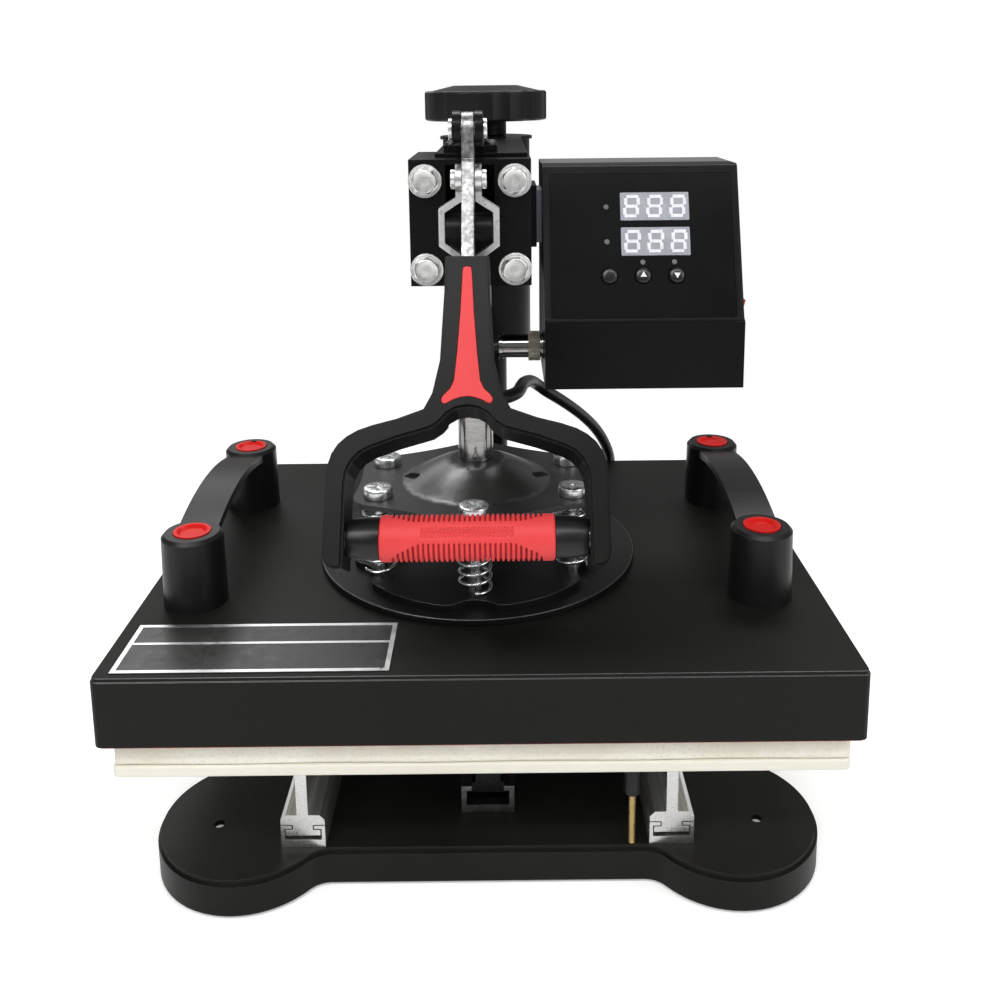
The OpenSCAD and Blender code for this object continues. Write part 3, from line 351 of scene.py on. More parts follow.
def eased(node, width, material, body, slot, sharp=32, steps=3, rim=None):
    """A piece from the node's solid: mesh copied and merged, edges rounded, shaded smooth.
    rim is a lighter finish painted on the rounded edges between its top or bottom and its sides,
    as a highlight."""
    piece = bpy.data.objects.new(node + "_made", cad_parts[node].data.copy())
    bpy.context.collection.objects.link(piece)
    only(piece)
    if piece.data.has_custom_normals:
        bpy.ops.mesh.customdata_custom_splitnormals_clear()
    bpy.ops.object.mode_set(mode="EDIT")
    bpy.ops.mesh.select_all(action="SELECT")
    bpy.ops.mesh.remove_doubles(threshold=MERGE_WITHIN)
    bpy.ops.mesh.dissolve_limited(angle_limit=FLAT_WITHIN)
    bpy.ops.mesh.normals_make_consistent(inside=False)
    bpy.ops.object.mode_set(mode="OBJECT")
    rounding = piece.modifiers.new("rounding", "BEVEL")
    rounding.width = width
    rounding.segments = steps
    rounding.limit_method = "ANGLE"
    rounding.angle_limit = math.radians(sharp)
    rounding.miter_outer = "MITER_ARC"
    bpy.ops.object.modifier_apply(modifier="rounding")
    bpy.ops.object.shade_smooth_by_angle(angle=math.radians(sharp + 6))
    flats = piece.modifiers.new("flats", "WEIGHTED_NORMAL")
    flats.keep_sharp = True
    flats.weight = 90
    bpy.ops.object.modifier_apply(modifier="flats")
    painted(piece, material)
    if rim:
        second_finish(piece, rim, lambda face: 0.3 < face.normal.z < 0.97)
    fixed_on(piece, body, slot, node)
    return piece


powder_black = coated("powder_coat_black", (0.0062, 0.0062, 0.0054), (0.0100, 0.0099, 0.0088),
                      (0.30, 0.42), 1500, 0.06, gloss=0.16)
foot_rubber = coated("foot_rubber", (0.012, 0.012, 0.012), (0.02, 0.02, 0.02), (0.7, 0.85),
                     700, 0.1, gloss=0.25)
# Painted highlight: a lighter, glossier coat for rounded edges, standing in for the lamps'
# reflection.
rubbed_edge = coated("rubbed_edge", (0.012, 0.012, 0.0115), (0.02, 0.02, 0.019), (0.24, 0.36),
                     1500, 0.05, gloss=1.0)
eased("base_plate", 1.3 * MM, powder_black, "base", "satin_black", sharp=40, rim=rubbed_edge)
eased("base_feet", 1.2 * MM, foot_rubber, "base", "black_rubber")

# ---- Base screws ----
# Zinc-plated hexagon bolts hold the post's flange and pan heads hold the rails, all
# turned and plated bright. They go right through the base's deck.
brushing, brush_in, brush_out = effect("drawn_streaks", {
    "Across X": 60, "Across Y": 60, "Across Z": 60, "Rough Low": 0.2, "Rough High": 0.4},
    {"Height": "Float", "Rough": "Float", "Streak": "Float"})
brush_place = brushing.nodes.new("ShaderNodeTexCoord")
brush_scale = brushing.nodes.new("ShaderNodeCombineXYZ")
for axis in "XYZ":
    brushing.links.new(brush_in.outputs["Across " + axis], brush_scale.inputs[axis])
brush_vector = brushing.nodes.new("ShaderNodeVectorMath")
brush_vector.operation = "MULTIPLY"
brushing.links.new(brush_place.outputs["Object"], brush_vector.inputs[0])
brushing.links.new(brush_scale.outputs[0], brush_vector.inputs[1])
brush_noise = brushing.nodes.new("ShaderNodeTexNoise")
brush_noise.inputs["Scale"].default_value = 1
brush_noise.inputs["Detail"].default_value = 5
brush_noise.inputs["Roughness"].default_value = 0.7
brushing.links.new(brush_vector.outputs[0], brush_noise.inputs["Vector"])
brush_mask = ramp(brushing, brush_noise.outputs["Fac"], 0.3, 0.7)
brush_spread = worked(brushing, "SUBTRACT", brush_in.outputs["Rough High"],
                      brush_in.outputs["Rough Low"])
brush_rough = worked(brushing, "ADD", worked(brushing, "MULTIPLY", brush_mask, brush_spread),
                     brush_in.outputs["Rough Low"])
brushing.links.new(brush_noise.outputs["Fac"], brush_out.inputs["Height"])
brushing.links.new(brush_rough, brush_out.inputs["Rough"])
brushing.links.new(brush_mask, brush_out.inputs["Streak"])


def metal(name, dark, light, rough, streaks, depth=0.01):
    """Bare or plated metal with streaks; streaks are the cells per metre in x, y and z."""
    material, tree, shader = finish(name, light, rough[0], metal=1)
    drawn = use(tree, brushing, Across_X=streaks[0], Across_Y=streaks[1],
                Across_Z=streaks[2], Rough_Low=rough[0], Rough_High=rough[1])
    two_tone(tree, drawn.outputs["Streak"], dark, light, shader)
    tree.links.new(drawn.outputs["Rough"], shader.inputs["Roughness"])
    bump(tree, drawn.outputs["Height"], shader, depth)
    return material


zinc_plate = metal("zinc_plate", (0.58, 0.59, 0.60), (0.86, 0.87, 0.88), (0.2, 0.36),
                   (260, 260, 260))
eased("base_screws", 0.5 * MM, zinc_plate, "base", "zinc")

# ---- Side rails, centre rail and guide ----
# Two bare aluminium C channels are screwed along the base, with a blackened steel channel
# between them, sawn to length and bare at its ends. Their lips hold the table's sliders; a
# guide block runs in the middle one.
bare_aluminium = metal("drawn_aluminium", (0.66, 0.66, 0.65), (0.90, 0.90, 0.89), (0.24, 0.4),
                       (900, 6, 900), 0.02)
black_steel = metal("blackened_steel", (0.035, 0.035, 0.036), (0.085, 0.085, 0.088), (0.3, 0.5),
                    (700, 8, 700))
eased("side_rails", 0.35 * MM, bare_aluminium, "base", "aluminium", steps=2)
centre = eased("centre_rail", 0.35 * MM, black_steel, "base", "zinc", steps=2)
sawn_steel = metal("sawn_steel", (0.20, 0.20, 0.20), (0.42, 0.42, 0.41), (0.3, 0.45),
                   (160, 160, 160))
second_finish(centre, sawn_steel, lambda face: abs(face.normal.y) > 0.9)
eased("guide_block", 0.6 * MM, black_steel, "drawer", "zinc", steps=2)

# ---- Table sliders ----
# Aluminium extrusions with a foot that runs in each channel and a tall web up to the
# table, mill-finish with drawing lines along their length and bright sawn ends.
eased("table_sliders", 0.35 * MM, bare_aluminium, "drawer", "aluminium", steps=2)

# ---- Table plate and pad ----
# The lower table is a folded plate under a cream silicone sponge pad. The sponge is cut
# from sheet: flat faces, softly rounded arrises, small pits and a slightly wavy edge.
PAD_LOW, PAD_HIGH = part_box("table_pad")
PAD_ARRIS, PAD_TRIM, PAD_WAVE = 2.2 * MM, 0.8 * MM, 0.35 * MM
PAD_CUTS_IN, PAD_EDGE_BAND = 4 * MM, 3 * MM
PAD_CUTS = ((0, PAD_LOW.x, PAD_HIGH.x, 24), (1, PAD_LOW.y, PAD_HIGH.y, 18))

table_paint = coated("table_paint", (0.68, 0.655, 0.56), (0.78, 0.76, 0.67), (0.45, 0.6), 900)
eased("table_plate", 1.0 * MM, table_paint, "drawer", "cream_enamel")

bpy.ops.object.select_all(action="DESELECT")
bpy.ops.mesh.primitive_cube_add(size=1, location=(0, 0, 0))
pad = bpy.context.object
pad.name = "silicone_pad"
pad_size, pad_mid = PAD_HIGH - PAD_LOW, (PAD_HIGH + PAD_LOW) / 2
bpy.ops.object.mode_set(mode="EDIT")
bpy.ops.mesh.select_all(action="SELECT")
bpy.ops.transform.resize(value=tuple(pad_size - Vector((PAD_TRIM, PAD_TRIM, 0))),
                         center_override=(0, 0, 0))
bpy.ops.transform.translate(value=tuple(pad_mid))
bpy.ops.object.mode_set(mode="OBJECT")
arris = pad.modifiers.new("arris", "BEVEL")
arris.width = PAD_ARRIS
arris.segments = 4
arris.limit_method = "ANGLE"
bpy.ops.object.modifier_apply(modifier="arris")
bpy.ops.object.mode_set(mode="EDIT")
bpy.ops.mesh.select_all(action="SELECT")
for side, low, high, count in PAD_CUTS:
    for step in range(1, count):
        spot, way = [0, 0, 0], [0, 0, 0]
        spot[side] = low + PAD_CUTS_IN + (high - low - 2 * PAD_CUTS_IN) * step / count
        way[side] = 1
        bpy.ops.mesh.select_all(action="SELECT")
        bpy.ops.mesh.bisect(plane_co=spot, plane_no=way)
bpy.ops.object.mode_set(mode="OBJECT")
for corner in pad.data.vertices:
    x, y, _ = corner.co
    inward = PAD_WAVE * (1 + math.sin(x * 61) * math.cos(y * 47 + 1))
    on_x = abs(x - pad_mid.x) > pad_size.x / 2 - PAD_EDGE_BAND
    on_y = abs(y - pad_mid.y) > pad_size.y / 2 - PAD_EDGE_BAND
    if on_y:
        corner.co.y -= math.copysign(inward, y - pad_mid.y)
    if on_x:
        corner.co.x -= math.copysign(inward, x - pad_mid.x)
bpy.ops.object.shade_smooth_by_angle(angle=math.radians(30))

sponge, tree, shader = finish("silicone_sponge", (0.92, 0.90, 0.80), 0.75, gloss=0.25)
pores = tree.nodes.new("ShaderNodeTexVoronoi")
pores.inputs["Scale"].default_value = 520
place = tree.nodes.new("ShaderNodeTexCoord")
tree.links.new(place.outputs["Object"], pores.inputs["Vector"])
pore_depth = ramp(tree, pores.outputs["Distance"], 0.0, 0.45)
stain = ramp(tree, cloud(tree, 22, 5, 0.6), 0.35, 0.72)
two_tone(tree, worked(tree, "MULTIPLY", stain, pore_depth), (0.74, 0.71, 0.60),
         (0.86, 0.84, 0.755), shader)
bump(tree, worked(tree, "ADD", pore_depth, worked(tree, "MULTIPLY", cloud(tree, 300), 0.8)),
     shader, 0.25)
tree.links.new(ramp(tree, stain, 0, 1, 0.7, 0.85), shader.inputs["Roughness"])
painted(pad, sponge)
fixed_on(pad, "drawer", "cream_silicone", "table_pad")

# ---- Lock pin ----
# Brass threaded pin that clamps the table, with a black knurled sleeve pressed on it.
# The thread is cut on the upper part and runs out above the rail.
thread_brass = metal("turned_brass", (0.42, 0.29, 0.10), (0.72, 0.55, 0.24), (0.22, 0.38),
                     (90, 90, 2400), 0.25)
eased("lock_pin", 0.3 * MM, thread_brass, "drawer", "brass")
moulded_black = coated("moulded_black", (0.005, 0.005, 0.005), (0.009, 0.009, 0.009),
                       (0.3, 0.42), 1100, 0.03, gloss=0.35)
eased("lock_sleeve", 0.4 * MM, moulded_black, "drawer", "black_plastic")

# ---- Platen cover ----
# Folded sheet-steel lid over the heating plate, textured black powder coat on top and
# sides, corners welded and ground round, a highlight painted along its rim. Insulation
# shows as a thin red line under it.
lid_coat = coated("lid_coat", (0.0068, 0.0071, 0.0060), (0.0100, 0.0102, 0.0088), (0.40, 0.54),
                  1900, 0.1, gloss=0.13)
eased("platen_cover", 1.3 * MM, lid_coat, "press", "satin_black", sharp=40, rim=rubbed_edge)
red_wool = coated("red_insulation", (0.30, 0.012, 0.012), (0.52, 0.03, 0.025), (0.8, 0.95),
                  600, 0.3, gloss=0.2)
eased("insulation", 0.3 * MM, red_wool, "press", "wool", steps=1)
plate_grey = metal("plate_coating", (0.10, 0.10, 0.11), (0.16, 0.16, 0.17), (0.35, 0.5),
                   (200, 200, 200))
eased("heat_plate", 0.6 * MM, plate_grey, "press", "heat_alloy")

# ---- Foil plate ----
# Etched aluminium foil stuck on the lid's front corner, too thin for rounded edges. It
# carries no words: two black fields, etched in, with a bright border and bar round them.
_, FOIL_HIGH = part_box("label_plate")
ETCH_FLOOR, ETCH_RIM = FOIL_HIGH.z - 0.2 * MM, FOIL_HIGH.z - 0.1 * MM
foil, tree, shader = finish("etched_foil", (0.7, 0.71, 0.72), 0.3, metal=1)
place = tree.nodes.new("ShaderNodeTexCoord")
parts = tree.nodes.new("ShaderNodeSeparateXYZ")
tree.links.new(place.outputs["Object"], parts.inputs[0])
raised = ramp(tree, parts.outputs["Z"], ETCH_FLOOR, ETCH_RIM)
worn = ramp(tree, cloud(tree, 160, 6, 0.7), 0.3, 0.62)
two_tone(tree, worked(tree, "MULTIPLY", raised, worked(tree, "ADD", 0.75, worn)),
         (0.020, 0.020, 0.019), (0.78, 0.79, 0.80), shader)
tree.links.new(raised, shader.inputs["Metallic"])
tree.links.new(ramp(tree, worn, 0, 1, 0.24, 0.4), shader.inputs["Roughness"])
bump(tree, cloud(tree, 1200), shader, 0.01)
plate = bpy.data.objects.new("foil_plate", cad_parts["label_plate"].data.copy())
bpy.context.collection.objects.link(plate)
painted(plate, foil)
fixed_on(plate, "press", "foil", "label_plate")

# ---- Carrying handles ----
# Black moulded posts with a rounded rim, one at each end of a broad arched strap. Red
# dished plugs hide the screws; the rear ones have a small prising notch.
handle_plastic = coated("handle_plastic", (0.0065, 0.0065, 0.0068), (0.011, 0.011, 0.011),
                        (0.28, 0.4), 800, 0.04, gloss=0.24)
eased("carry_handles", 1.5 * MM, handle_plastic, "press", "black_plastic", sharp=26, steps=4)
cap_red = coated("cap_red", (0.50, 0.006, 0.004), (0.58, 0.009, 0.006), (0.3, 0.4), 500,
                 0.02, gloss=0.16)
eased("handle_caps", 0.35 * MM, cap_red, "press", "red_plastic", sharp=26)

# ---- Round plate and spring seat ----
# Laser-cut discs that spread the rod's load: a plain round one on the lid and a notched
# one bolted on it. A highlight is painted on their cut edges as a lighter finish.
disc_coat = coated("disc_coat", (0.0045, 0.0045, 0.0046), (0.0075, 0.0075, 0.0075), (0.32, 0.44),
                   1300, 0.04, gloss=0.2)
eased("round_plate", 0.7 * MM, disc_coat, "press", "satin_black", rim=rubbed_edge)
eased("spring_seat", 0.7 * MM, disc_coat, "press", "satin_black", rim=rubbed_edge)

# ---- Springs ----
# Six bright spring-steel helices between the seat and the star plate, ground flat ends,
# one round each shoulder bolt. One is wound and the others are copies with their own mesh.
ROD_X, ROD_Y = -6 * MM, -35 * MM
BOLT_SPOTS = [(0, -54), (57, -26), (57, 26), (0, 54), (-57, 26), (-57, -26)]
COIL_R, WIRE_R, COIL_TURNS = 9.0 * MM, 1.0 * MM, 7
COIL_Z0, COIL_Z1 = 146.2 * MM, 185.8 * MM
COIL_STEPS = COIL_TURNS * 28
END_SHARE, END_SQUEEZE = 0.11, 0.045

coil_line = []
for step in range(COIL_STEPS + 1):
    share = step / COIL_STEPS
    inner = min(share / END_SHARE, (1 - share) / END_SHARE, 1)
    squeeze = END_SQUEEZE * (1 - inner) ** 2
    height = share - squeeze if share < 0.5 else share + squeeze
    height = min(1, max(0, height))
    turn = math.tau * COIL_TURNS * share
    coil_line.append((COIL_R * math.cos(turn), COIL_R * math.sin(turn),
                      COIL_Z0 + (COIL_Z1 - COIL_Z0) * height))


def alike(first, count):
    """The first piece and numbered copies of it, each with a mesh of its own."""
    pieces = [first]
    for index in range(1, count):
        name = first.name.replace("_0", f"_{index}")
        pieces.append(bpy.data.objects.new(name, first.data.copy()))
        bpy.context.collection.objects.link(pieces[-1])
    return pieces


first_spring = tube("spring_0", coil_line, WIRE_R, 2, 60)
spring_steel = metal("spring_steel", (0.58, 0.59, 0.60), (0.88, 0.89, 0.90), (0.12, 0.24),
                     (300, 300, 300))
painted(first_spring, spring_steel)
for (x, y), piece in zip(BOLT_SPOTS, alike(first_spring, len(BOLT_SPOTS))):
    piece.data.transform(Matrix.Translation((ROD_X + x * MM, ROD_Y + y * MM, 0))
                         @ Matrix.Rotation(math.atan2(y, x), 4, "Z"))
    fixed_on(piece, "press", "chrome", "springs")

# ---- Star plate ----
# Pressed steel star with a low dome and two oval slots, black coat over the draw marks,
# its colour painted lighter than the other discs for its sheen and a highlight painted along
# its edges. The rod is bolted to its middle and the six shoulder bolts hang in its points.
# Painted sheen: this coat is lighter than disc_coat to stand for the plate's broad reflection.
dome_coat = coated("dome_coat", (0.012, 0.0125, 0.0125), (0.019, 0.0195, 0.0195), (0.34, 0.46),
                   1300, 0.04, gloss=0.55)
eased("dome_plate", 0.8 * MM, dome_coat, "press", "satin_black", sharp=24, rim=rubbed_edge)

# ---- Shoulder bolts ----
# Bright zinc heads with a turned edge and a cross recess, standing on the star plate; their
# plain shanks go down through the springs. One head is modelled and copied six times.
HEAD_Z, RECESS_Z = 190 * MM, 196 * MM
RECESS_LONG, RECESS_WIDE, RECESS_TALL, RECESS_TURN = 7.5 * MM, 1.3 * MM, 2.6 * MM, 0.7
BOLT_PROFILE = [(0, 5.9), (7.4, 5.9), (8.1, 5.6), (8.4, 5.0), (8.5, 4.2), (8.5, 0.5), (8.2, 0.03),
                (4, 0.03), (4, -46), (0, -46)]


def lathe(name, profile, place, steps=48, axis=(0, 0, 1)):
    """Spins an (out, up) profile in millimetres into a closed turned piece at place."""
    mesh = bpy.data.meshes.new(name)
    mesh.from_pydata([(r * MM, 0, z * MM) for r, z in profile],
                     [(i, i + 1) for i in range(len(profile) - 1)], [])
    piece = bpy.data.objects.new(name, mesh)
    bpy.context.collection.objects.link(piece)
    only(piece)
    bpy.ops.object.mode_set(mode="EDIT")
    bpy.ops.mesh.select_all(action="SELECT")
    bpy.ops.mesh.spin(steps=steps, angle=math.tau, center=(0, 0, 0), axis=(0, 0, 1))
    bpy.ops.mesh.select_all(action="SELECT")
    bpy.ops.mesh.remove_doubles(threshold=0.005 * MM)
    bpy.ops.mesh.normals_make_consistent(inside=False)
    bpy.ops.object.mode_set(mode="OBJECT")
    bpy.ops.object.shade_smooth_by_angle(angle=math.radians(34))
    turn = Vector((0, 0, 1)).rotation_difference(Vector(axis)).to_matrix().to_4x4()
    piece.data.transform(Matrix.Translation(place) @ turn)
    return piece


def joined(name, pieces):
    """Joins the pieces into one object of that name."""
    bpy.ops.object.select_all(action="DESELECT")
    for piece in pieces:
        piece.select_set(True)
    bpy.context.view_layer.objects.active = pieces[0]
    bpy.ops.object.join()
    pieces[0].name = name
    return pieces[0]


def cut_by(piece, tools, kind="DIFFERENCE"):
    """Cuts the piece with each tool by an exact Boolean and removes the tool."""
    only(piece)
    for tool in tools:
        cutter = piece.modifiers.new("cut", "BOOLEAN")
        cutter.operation = kind
        cutter.solver = "EXACT"
        cutter.object = tool
        bpy.ops.object.modifier_apply(modifier="cut")
        bpy.data.objects.remove(tool)


def block(size, place, turn=0.0):
    """A cutter block of that size, centred at place and turned about Z."""
    bpy.ops.object.select_all(action="DESELECT")
    bpy.ops.mesh.primitive_cube_add(size=1)
    piece = bpy.context.object
    piece.data.transform(Matrix.Translation(place) @ Matrix.Rotation(turn, 4, "Z")
                         @ Matrix.Diagonal((*size, 1)))
    return piece


bolt = lathe("shoulder_bolt_0", BOLT_PROFILE, (0, 0, HEAD_Z))
cut_by(bolt, [block((RECESS_LONG, RECESS_WIDE, RECESS_TALL), (0, 0, RECESS_Z), RECESS_TURN),
              block((RECESS_WIDE, RECESS_LONG, RECESS_TALL), (0, 0, RECESS_Z), RECESS_TURN)])
edge = bolt.modifiers.new("edge", "BEVEL")
edge.width = 0.2 * MM
edge.segments = 2
edge.limit_method = "ANGLE"
bpy.ops.object.modifier_apply(modifier="edge")
bpy.ops.object.shade_smooth_by_angle(angle=math.radians(38))
painted(bolt, zinc_plate)
for index, ((x, y), piece) in enumerate(zip(BOLT_SPOTS, alike(bolt, len(BOLT_SPOTS)))):
    piece.data.transform(Matrix.Translation((ROD_X + x * MM, ROD_Y + y * MM, 0))
                         @ Matrix.Rotation(index * 0.83, 4, "Z"))
    fixed_on(piece, "press", "zinc", "shoulder_bolts")

# ---- Press rod and crosshead ----
# Hard-chromed ground rod that carries the platen, its chrome colour painted dark for the
# reflection of the black pieces that it mirrors, and the steel crosshead that takes it out
# through the block's slot to the toggle link, blackened against rust.
# Painted reflection: the chrome's colour is kept dark for the dark pieces it mirrors.
chrome_painted_dark = metal("hard_chrome", (0.22, 0.215, 0.21), (0.40, 0.395, 0.39), (0.07, 0.16),
                   (120, 120, 1500))
eased("press_rod", 0.5 * MM, chrome_painted_dark, "press", "chrome")
eased("crosshead", 0.6 * MM, disc_coat, "press", "zinc")

# ---- Lead gland ----
# Black nylon elbow screwed into the lid's back wall, with a short tapered boot that
# holds the lead's end.
eased("cable_gland", 0.5 * MM, moulded_black, "press", "black_plastic")

# ---- Post, sleeve and head block ----
# Turned steel post bolted to the base; a thick tube swings on it, welded to a square
# machined block. All glossy black enamel, a little thicker and wavier over the welds.
head_enamel = coated("head_enamel", (0.0035, 0.0035, 0.0037), (0.006, 0.006, 0.0062),
                     (0.22, 0.34), 700, 0.05, gloss=0.14)
eased("post", 0.8 * MM, head_enamel, "base", "satin_black")
eased("swing_sleeve", 1.0 * MM, head_enamel, "head", "satin_black", sharp=40)
eased("head_block", 1.5 * MM, head_enamel, "head", "satin_black", sharp=50)
eased("top_cap", 0.5 * MM, head_enamel, "head", "satin_black", sharp=50)
eased("guide_bush", 0.4 * MM, thread_brass, "head", "brass")

# ---- Flange bolts of the head ----
# Four bright zinc flange bolts clamp the block: a round flange with a raised rim under a
# hexagon with a turned face. One is modelled and copied. The four clevis screws above are
# blackened pan heads.
BLOCK_FACE_Y, BLOCK_MID_Z, BLOCK_PITCH = -71 * MM, 351 * MM, 49 * MM
FLANGE_PROFILE = [(0, 1.6), (7.1, 1.6), (7.5, 1.7), (8.0, 2.2), (8.9, 2.3), (9.15, 2.1),
                  (9.2, 0.4), (8.95, 0.02), (4, 0.02), (4, -9), (0, -9)]
HEXAGON_PROFILE = [(0, 6.6), (1.4, 6.65), (2.0, 6.6), (5.6, 6.6), (6.1, 6.75), (6.35, 6.6),
                   (6.7, 6.2), (7.1, 5.4), (7.2, 3.0), (7.2, 1.5), (0, 1.5)]
PAN_PROFILE = [(0, 2.0), (1.6, 1.95), (2.8, 1.6), (3.3, 1.0), (3.4, 0.3), (3.4, 0), (1.9, 0),
               (1.9, -3.9), (0, -3.9)]
CLEVIS_TOP_Z, CLEVIS_SPOTS = 393.4 * MM, [(-11.2, -44), (-11.2, -24), (11.2, -44), (11.2, -24)]


def prism(name, radius, height, sides, place):
    """An upright prism with its foot at place; tools and blanks."""
    bpy.ops.object.select_all(action="DESELECT")
    bpy.ops.mesh.primitive_cylinder_add(vertices=sides, radius=radius, depth=height)
    piece = bpy.context.object
    piece.name = name
    piece.data.transform(Matrix.Translation(place) @ Matrix.Translation((0, 0, height / 2)))
    return piece


flange = lathe("flange", FLANGE_PROFILE, (0, 0, 0))
hexagon = lathe("hexagon", HEXAGON_PROFILE, (0, 0, 0))
cut_by(hexagon, [prism("six", 7.3 * MM, 12 * MM, 6, (0, 0, 0))], "INTERSECT")
flange_bolt = joined("flange_bolt_0", [flange, hexagon])
bpy.ops.object.shade_smooth_by_angle(angle=math.radians(30))
zinc_bright = metal("zinc_bright", (0.84, 0.84, 0.83), (0.97, 0.97, 0.96), (0.24, 0.4),
                    (420, 420, 420), 0.02)
painted(flange_bolt, zinc_bright)
corners = [(side, up) for side in (-1, 1) for up in (-1, 1)]
for index, ((side, up), piece) in enumerate(zip(corners, alike(flange_bolt, len(corners)))):
    spot = (ROD_X + side * BLOCK_PITCH / 2, BLOCK_FACE_Y, BLOCK_MID_Z + up * BLOCK_PITCH / 2)
    piece.data.transform(Matrix.Translation(spot) @ Matrix.Rotation(math.pi / 2, 4, "X")
                         @ Matrix.Rotation(index * 0.37, 4, "Z"))
    fixed_on(piece, "head", "zinc", "block_bolts")

for index, (x, y) in enumerate(CLEVIS_SPOTS):
    screw = lathe(f"clevis_screw_{index}", PAN_PROFILE, (ROD_X + x * MM, y * MM, CLEVIS_TOP_Z), 32)
    painted(screw, black_steel)
    fixed_on(screw, "head", "zinc")

# ---- Clevis and its pin ----
# Two black ears welded on a foot plate reach over the block; a zinc pin with flat round
# heads goes through them and the lever.
eased("clevis", 0.6 * MM, head_enamel, "head", "satin_black", sharp=40)
eased("clevis_pin", 0.5 * MM, zinc_bright, "head", "zinc")

# ---- Pressure knob ----
# Moulded black phenolic handwheel with twelve shallow flutes, a rolled rim and a low
# crown; it drives the thick blackened screw below it.
eased("pressure_knob", 2.0 * MM, handle_plastic, "knob", "black_plastic", sharp=50, steps=5)
eased("knob_screw", 0.6 * MM, head_enamel, "knob", "satin_black")

# ---- Control box ----
# Two folded sheet-steel halves with a fine crinkle coat, held to the block by a bracket
# and a lilac-grey spacer. The front half slopes back; the top face behind it has a painted
# sheen: a much lighter, glossy finish that stands for the light it reflects.
crinkle = coated("crinkle_coat", (0.0026, 0.0028, 0.0028), (0.0042, 0.0044, 0.0044), (0.3, 0.42),
                 2300, 0.12, gloss=0.12)
# Painted sheen: the shell's top faces get a much lighter colour for the light they reflect.
worn_top = coated("worn_top", (0.045, 0.045, 0.047), (0.08, 0.08, 0.083), (0.1, 0.16), 2300,
                  0.01, gloss=1.0, coat=0.6)
shell = eased("box_shell", 1.4 * MM, crinkle, "head", "case_black", sharp=40)
second_finish(shell, worn_top, lambda face: face.normal.z > 0.75)
eased("box_front", 1.4 * MM, crinkle, "head", "case_black", sharp=40)
eased("box_bracket", 0.6 * MM, head_enamel, "head", "satin_black")
lilac = coated("lilac_spacer", (0.30, 0.285, 0.36), (0.40, 0.385, 0.47), (0.35, 0.5), 900)
eased("box_spacer", 0.4 * MM, lilac, "head", "zinc")

# ---- Panel film ----
# Semi-gloss printed film set into the sloping face and pressed down. Where the real one
# has words it is left plain.
film = coated("panel_film", (0.0042, 0.0044, 0.0044), (0.0062, 0.0065, 0.0065), (0.2, 0.28), 1600,
              0.02, gloss=0.14)
eased("control_panel", 0.25 * MM, film, "head", "panel_film", sharp=40, steps=2)

# ---- Displays ----
# Two three-figure LED modules behind pale windows, unlit, so that every milky bar of each
# figure shows. The bars stand a little proud of the window's grey filler.
window, tree, shader = finish("window_filler", (0.44, 0.45, 0.49), 0.22, gloss=0.5, coat=0.6)
glow = ramp(tree, cloud(tree, 110, 2), 0.3, 0.7)
two_tone(tree, glow, (0.29, 0.30, 0.34), (0.37, 0.38, 0.42), shader)
bump(tree, cloud(tree, 1500), shader, 0.01)
eased("display_windows", 0.3 * MM, window, "head", "window", steps=2)
milky, tree, shader = finish("milky_bar", (0.90, 0.91, 0.94), 0.35, gloss=0.4)
two_tone(tree, ramp(tree, cloud(tree, 420, 2), 0.3, 0.7), (0.66, 0.67, 0.71),
         (0.78, 0.79, 0.82), shader)
bump(tree, cloud(tree, 900, 2), shader, 0.02)
eased("display_digits", 0.12 * MM, milky, "head", "digit", steps=1)
lens = coated("led_lens", (0.10, 0.10, 0.095), (0.17, 0.17, 0.16), (0.12, 0.2), 500, 0.01,
              coat=0.6)
eased("status_leds", 0.5 * MM, lens, "head", "digit")
solder = coated("solder_mask", (0.008, 0.07, 0.025), (0.015, 0.11, 0.04), (0.3, 0.4), 500)
eased("circuit_board", 0.1 * MM, solder, "head", "board", steps=1)

# ---- Buttons ----
# Three round moulded keys with a domed, softly worn top. The two to the right carry a
# plain raised arrow, up and down; the left one is left plain.
PANEL_TILT = math.atan(30 / 83)
PANEL_AT = (Matrix.Translation((90.8 * MM, -69 * MM, 297 * MM))
            @ Matrix.Rotation(math.pi / 2 - PANEL_TILT, 4, "X"))
KEY_ROW_Y = 24.4 * MM
KEY_PROFILE = [(0, 2.1), (2.0, 2.05), (3.4, 1.85), (4.2, 1.4), (4.55, 0.8), (4.6, 0.2), (4.6, -4),
               (6, -4), (6, -6), (0, -6)]
key_face = coated("key_face", (0.006, 0.006, 0.006), (0.010, 0.010, 0.010), (0.22, 0.32), 900,
                  0.03)
print_white = coated("print_white", (0.66, 0.66, 0.66), (0.80, 0.80, 0.80), (0.4, 0.5), 900,
                     0.01)
for name, body, x, way in (("set_button", "set_key", -19, 0), ("up_button", "up_key", 0, 1),
                           ("down_button", "down_key", 19, -1)):
    key = lathe(name + "_made", KEY_PROFILE, (0, 0, 0), 40)
    painted(key, key_face)
    if way:
        arrow = prism("arrow", 2.1 * MM, 0.5 * MM, 3, (0, 0, 1.75 * MM))
        arrow.data.transform(Matrix.Rotation(0 if way > 0 else math.pi, 4, "Z"))
        painted(arrow, print_white)
        key = joined(name + "_made", [key, arrow])
    key.data.transform(PANEL_AT @ Matrix.Translation((x * MM, KEY_ROW_Y, 0)))
    fixed_on(key, body, "black_plastic", name)

# ---- Rocker and inlet ----
# Red rocker cap in the box's right wall, and behind, the black moulded three-pin inlet
# with its flange and two screws. The mains lead itself isn't in the photograph.
rocker_red = coated("rocker_red", (0.45, 0.01, 0.012), (0.58, 0.02, 0.02), (0.2, 0.3), 600,
                    0.02, coat=0.3)
eased("power_rocker", 0.5 * MM, rocker_red, "rocker", "red_plastic")
eased("power_inlet", 0.5 * MM, moulded_black, "head", "black_plastic")

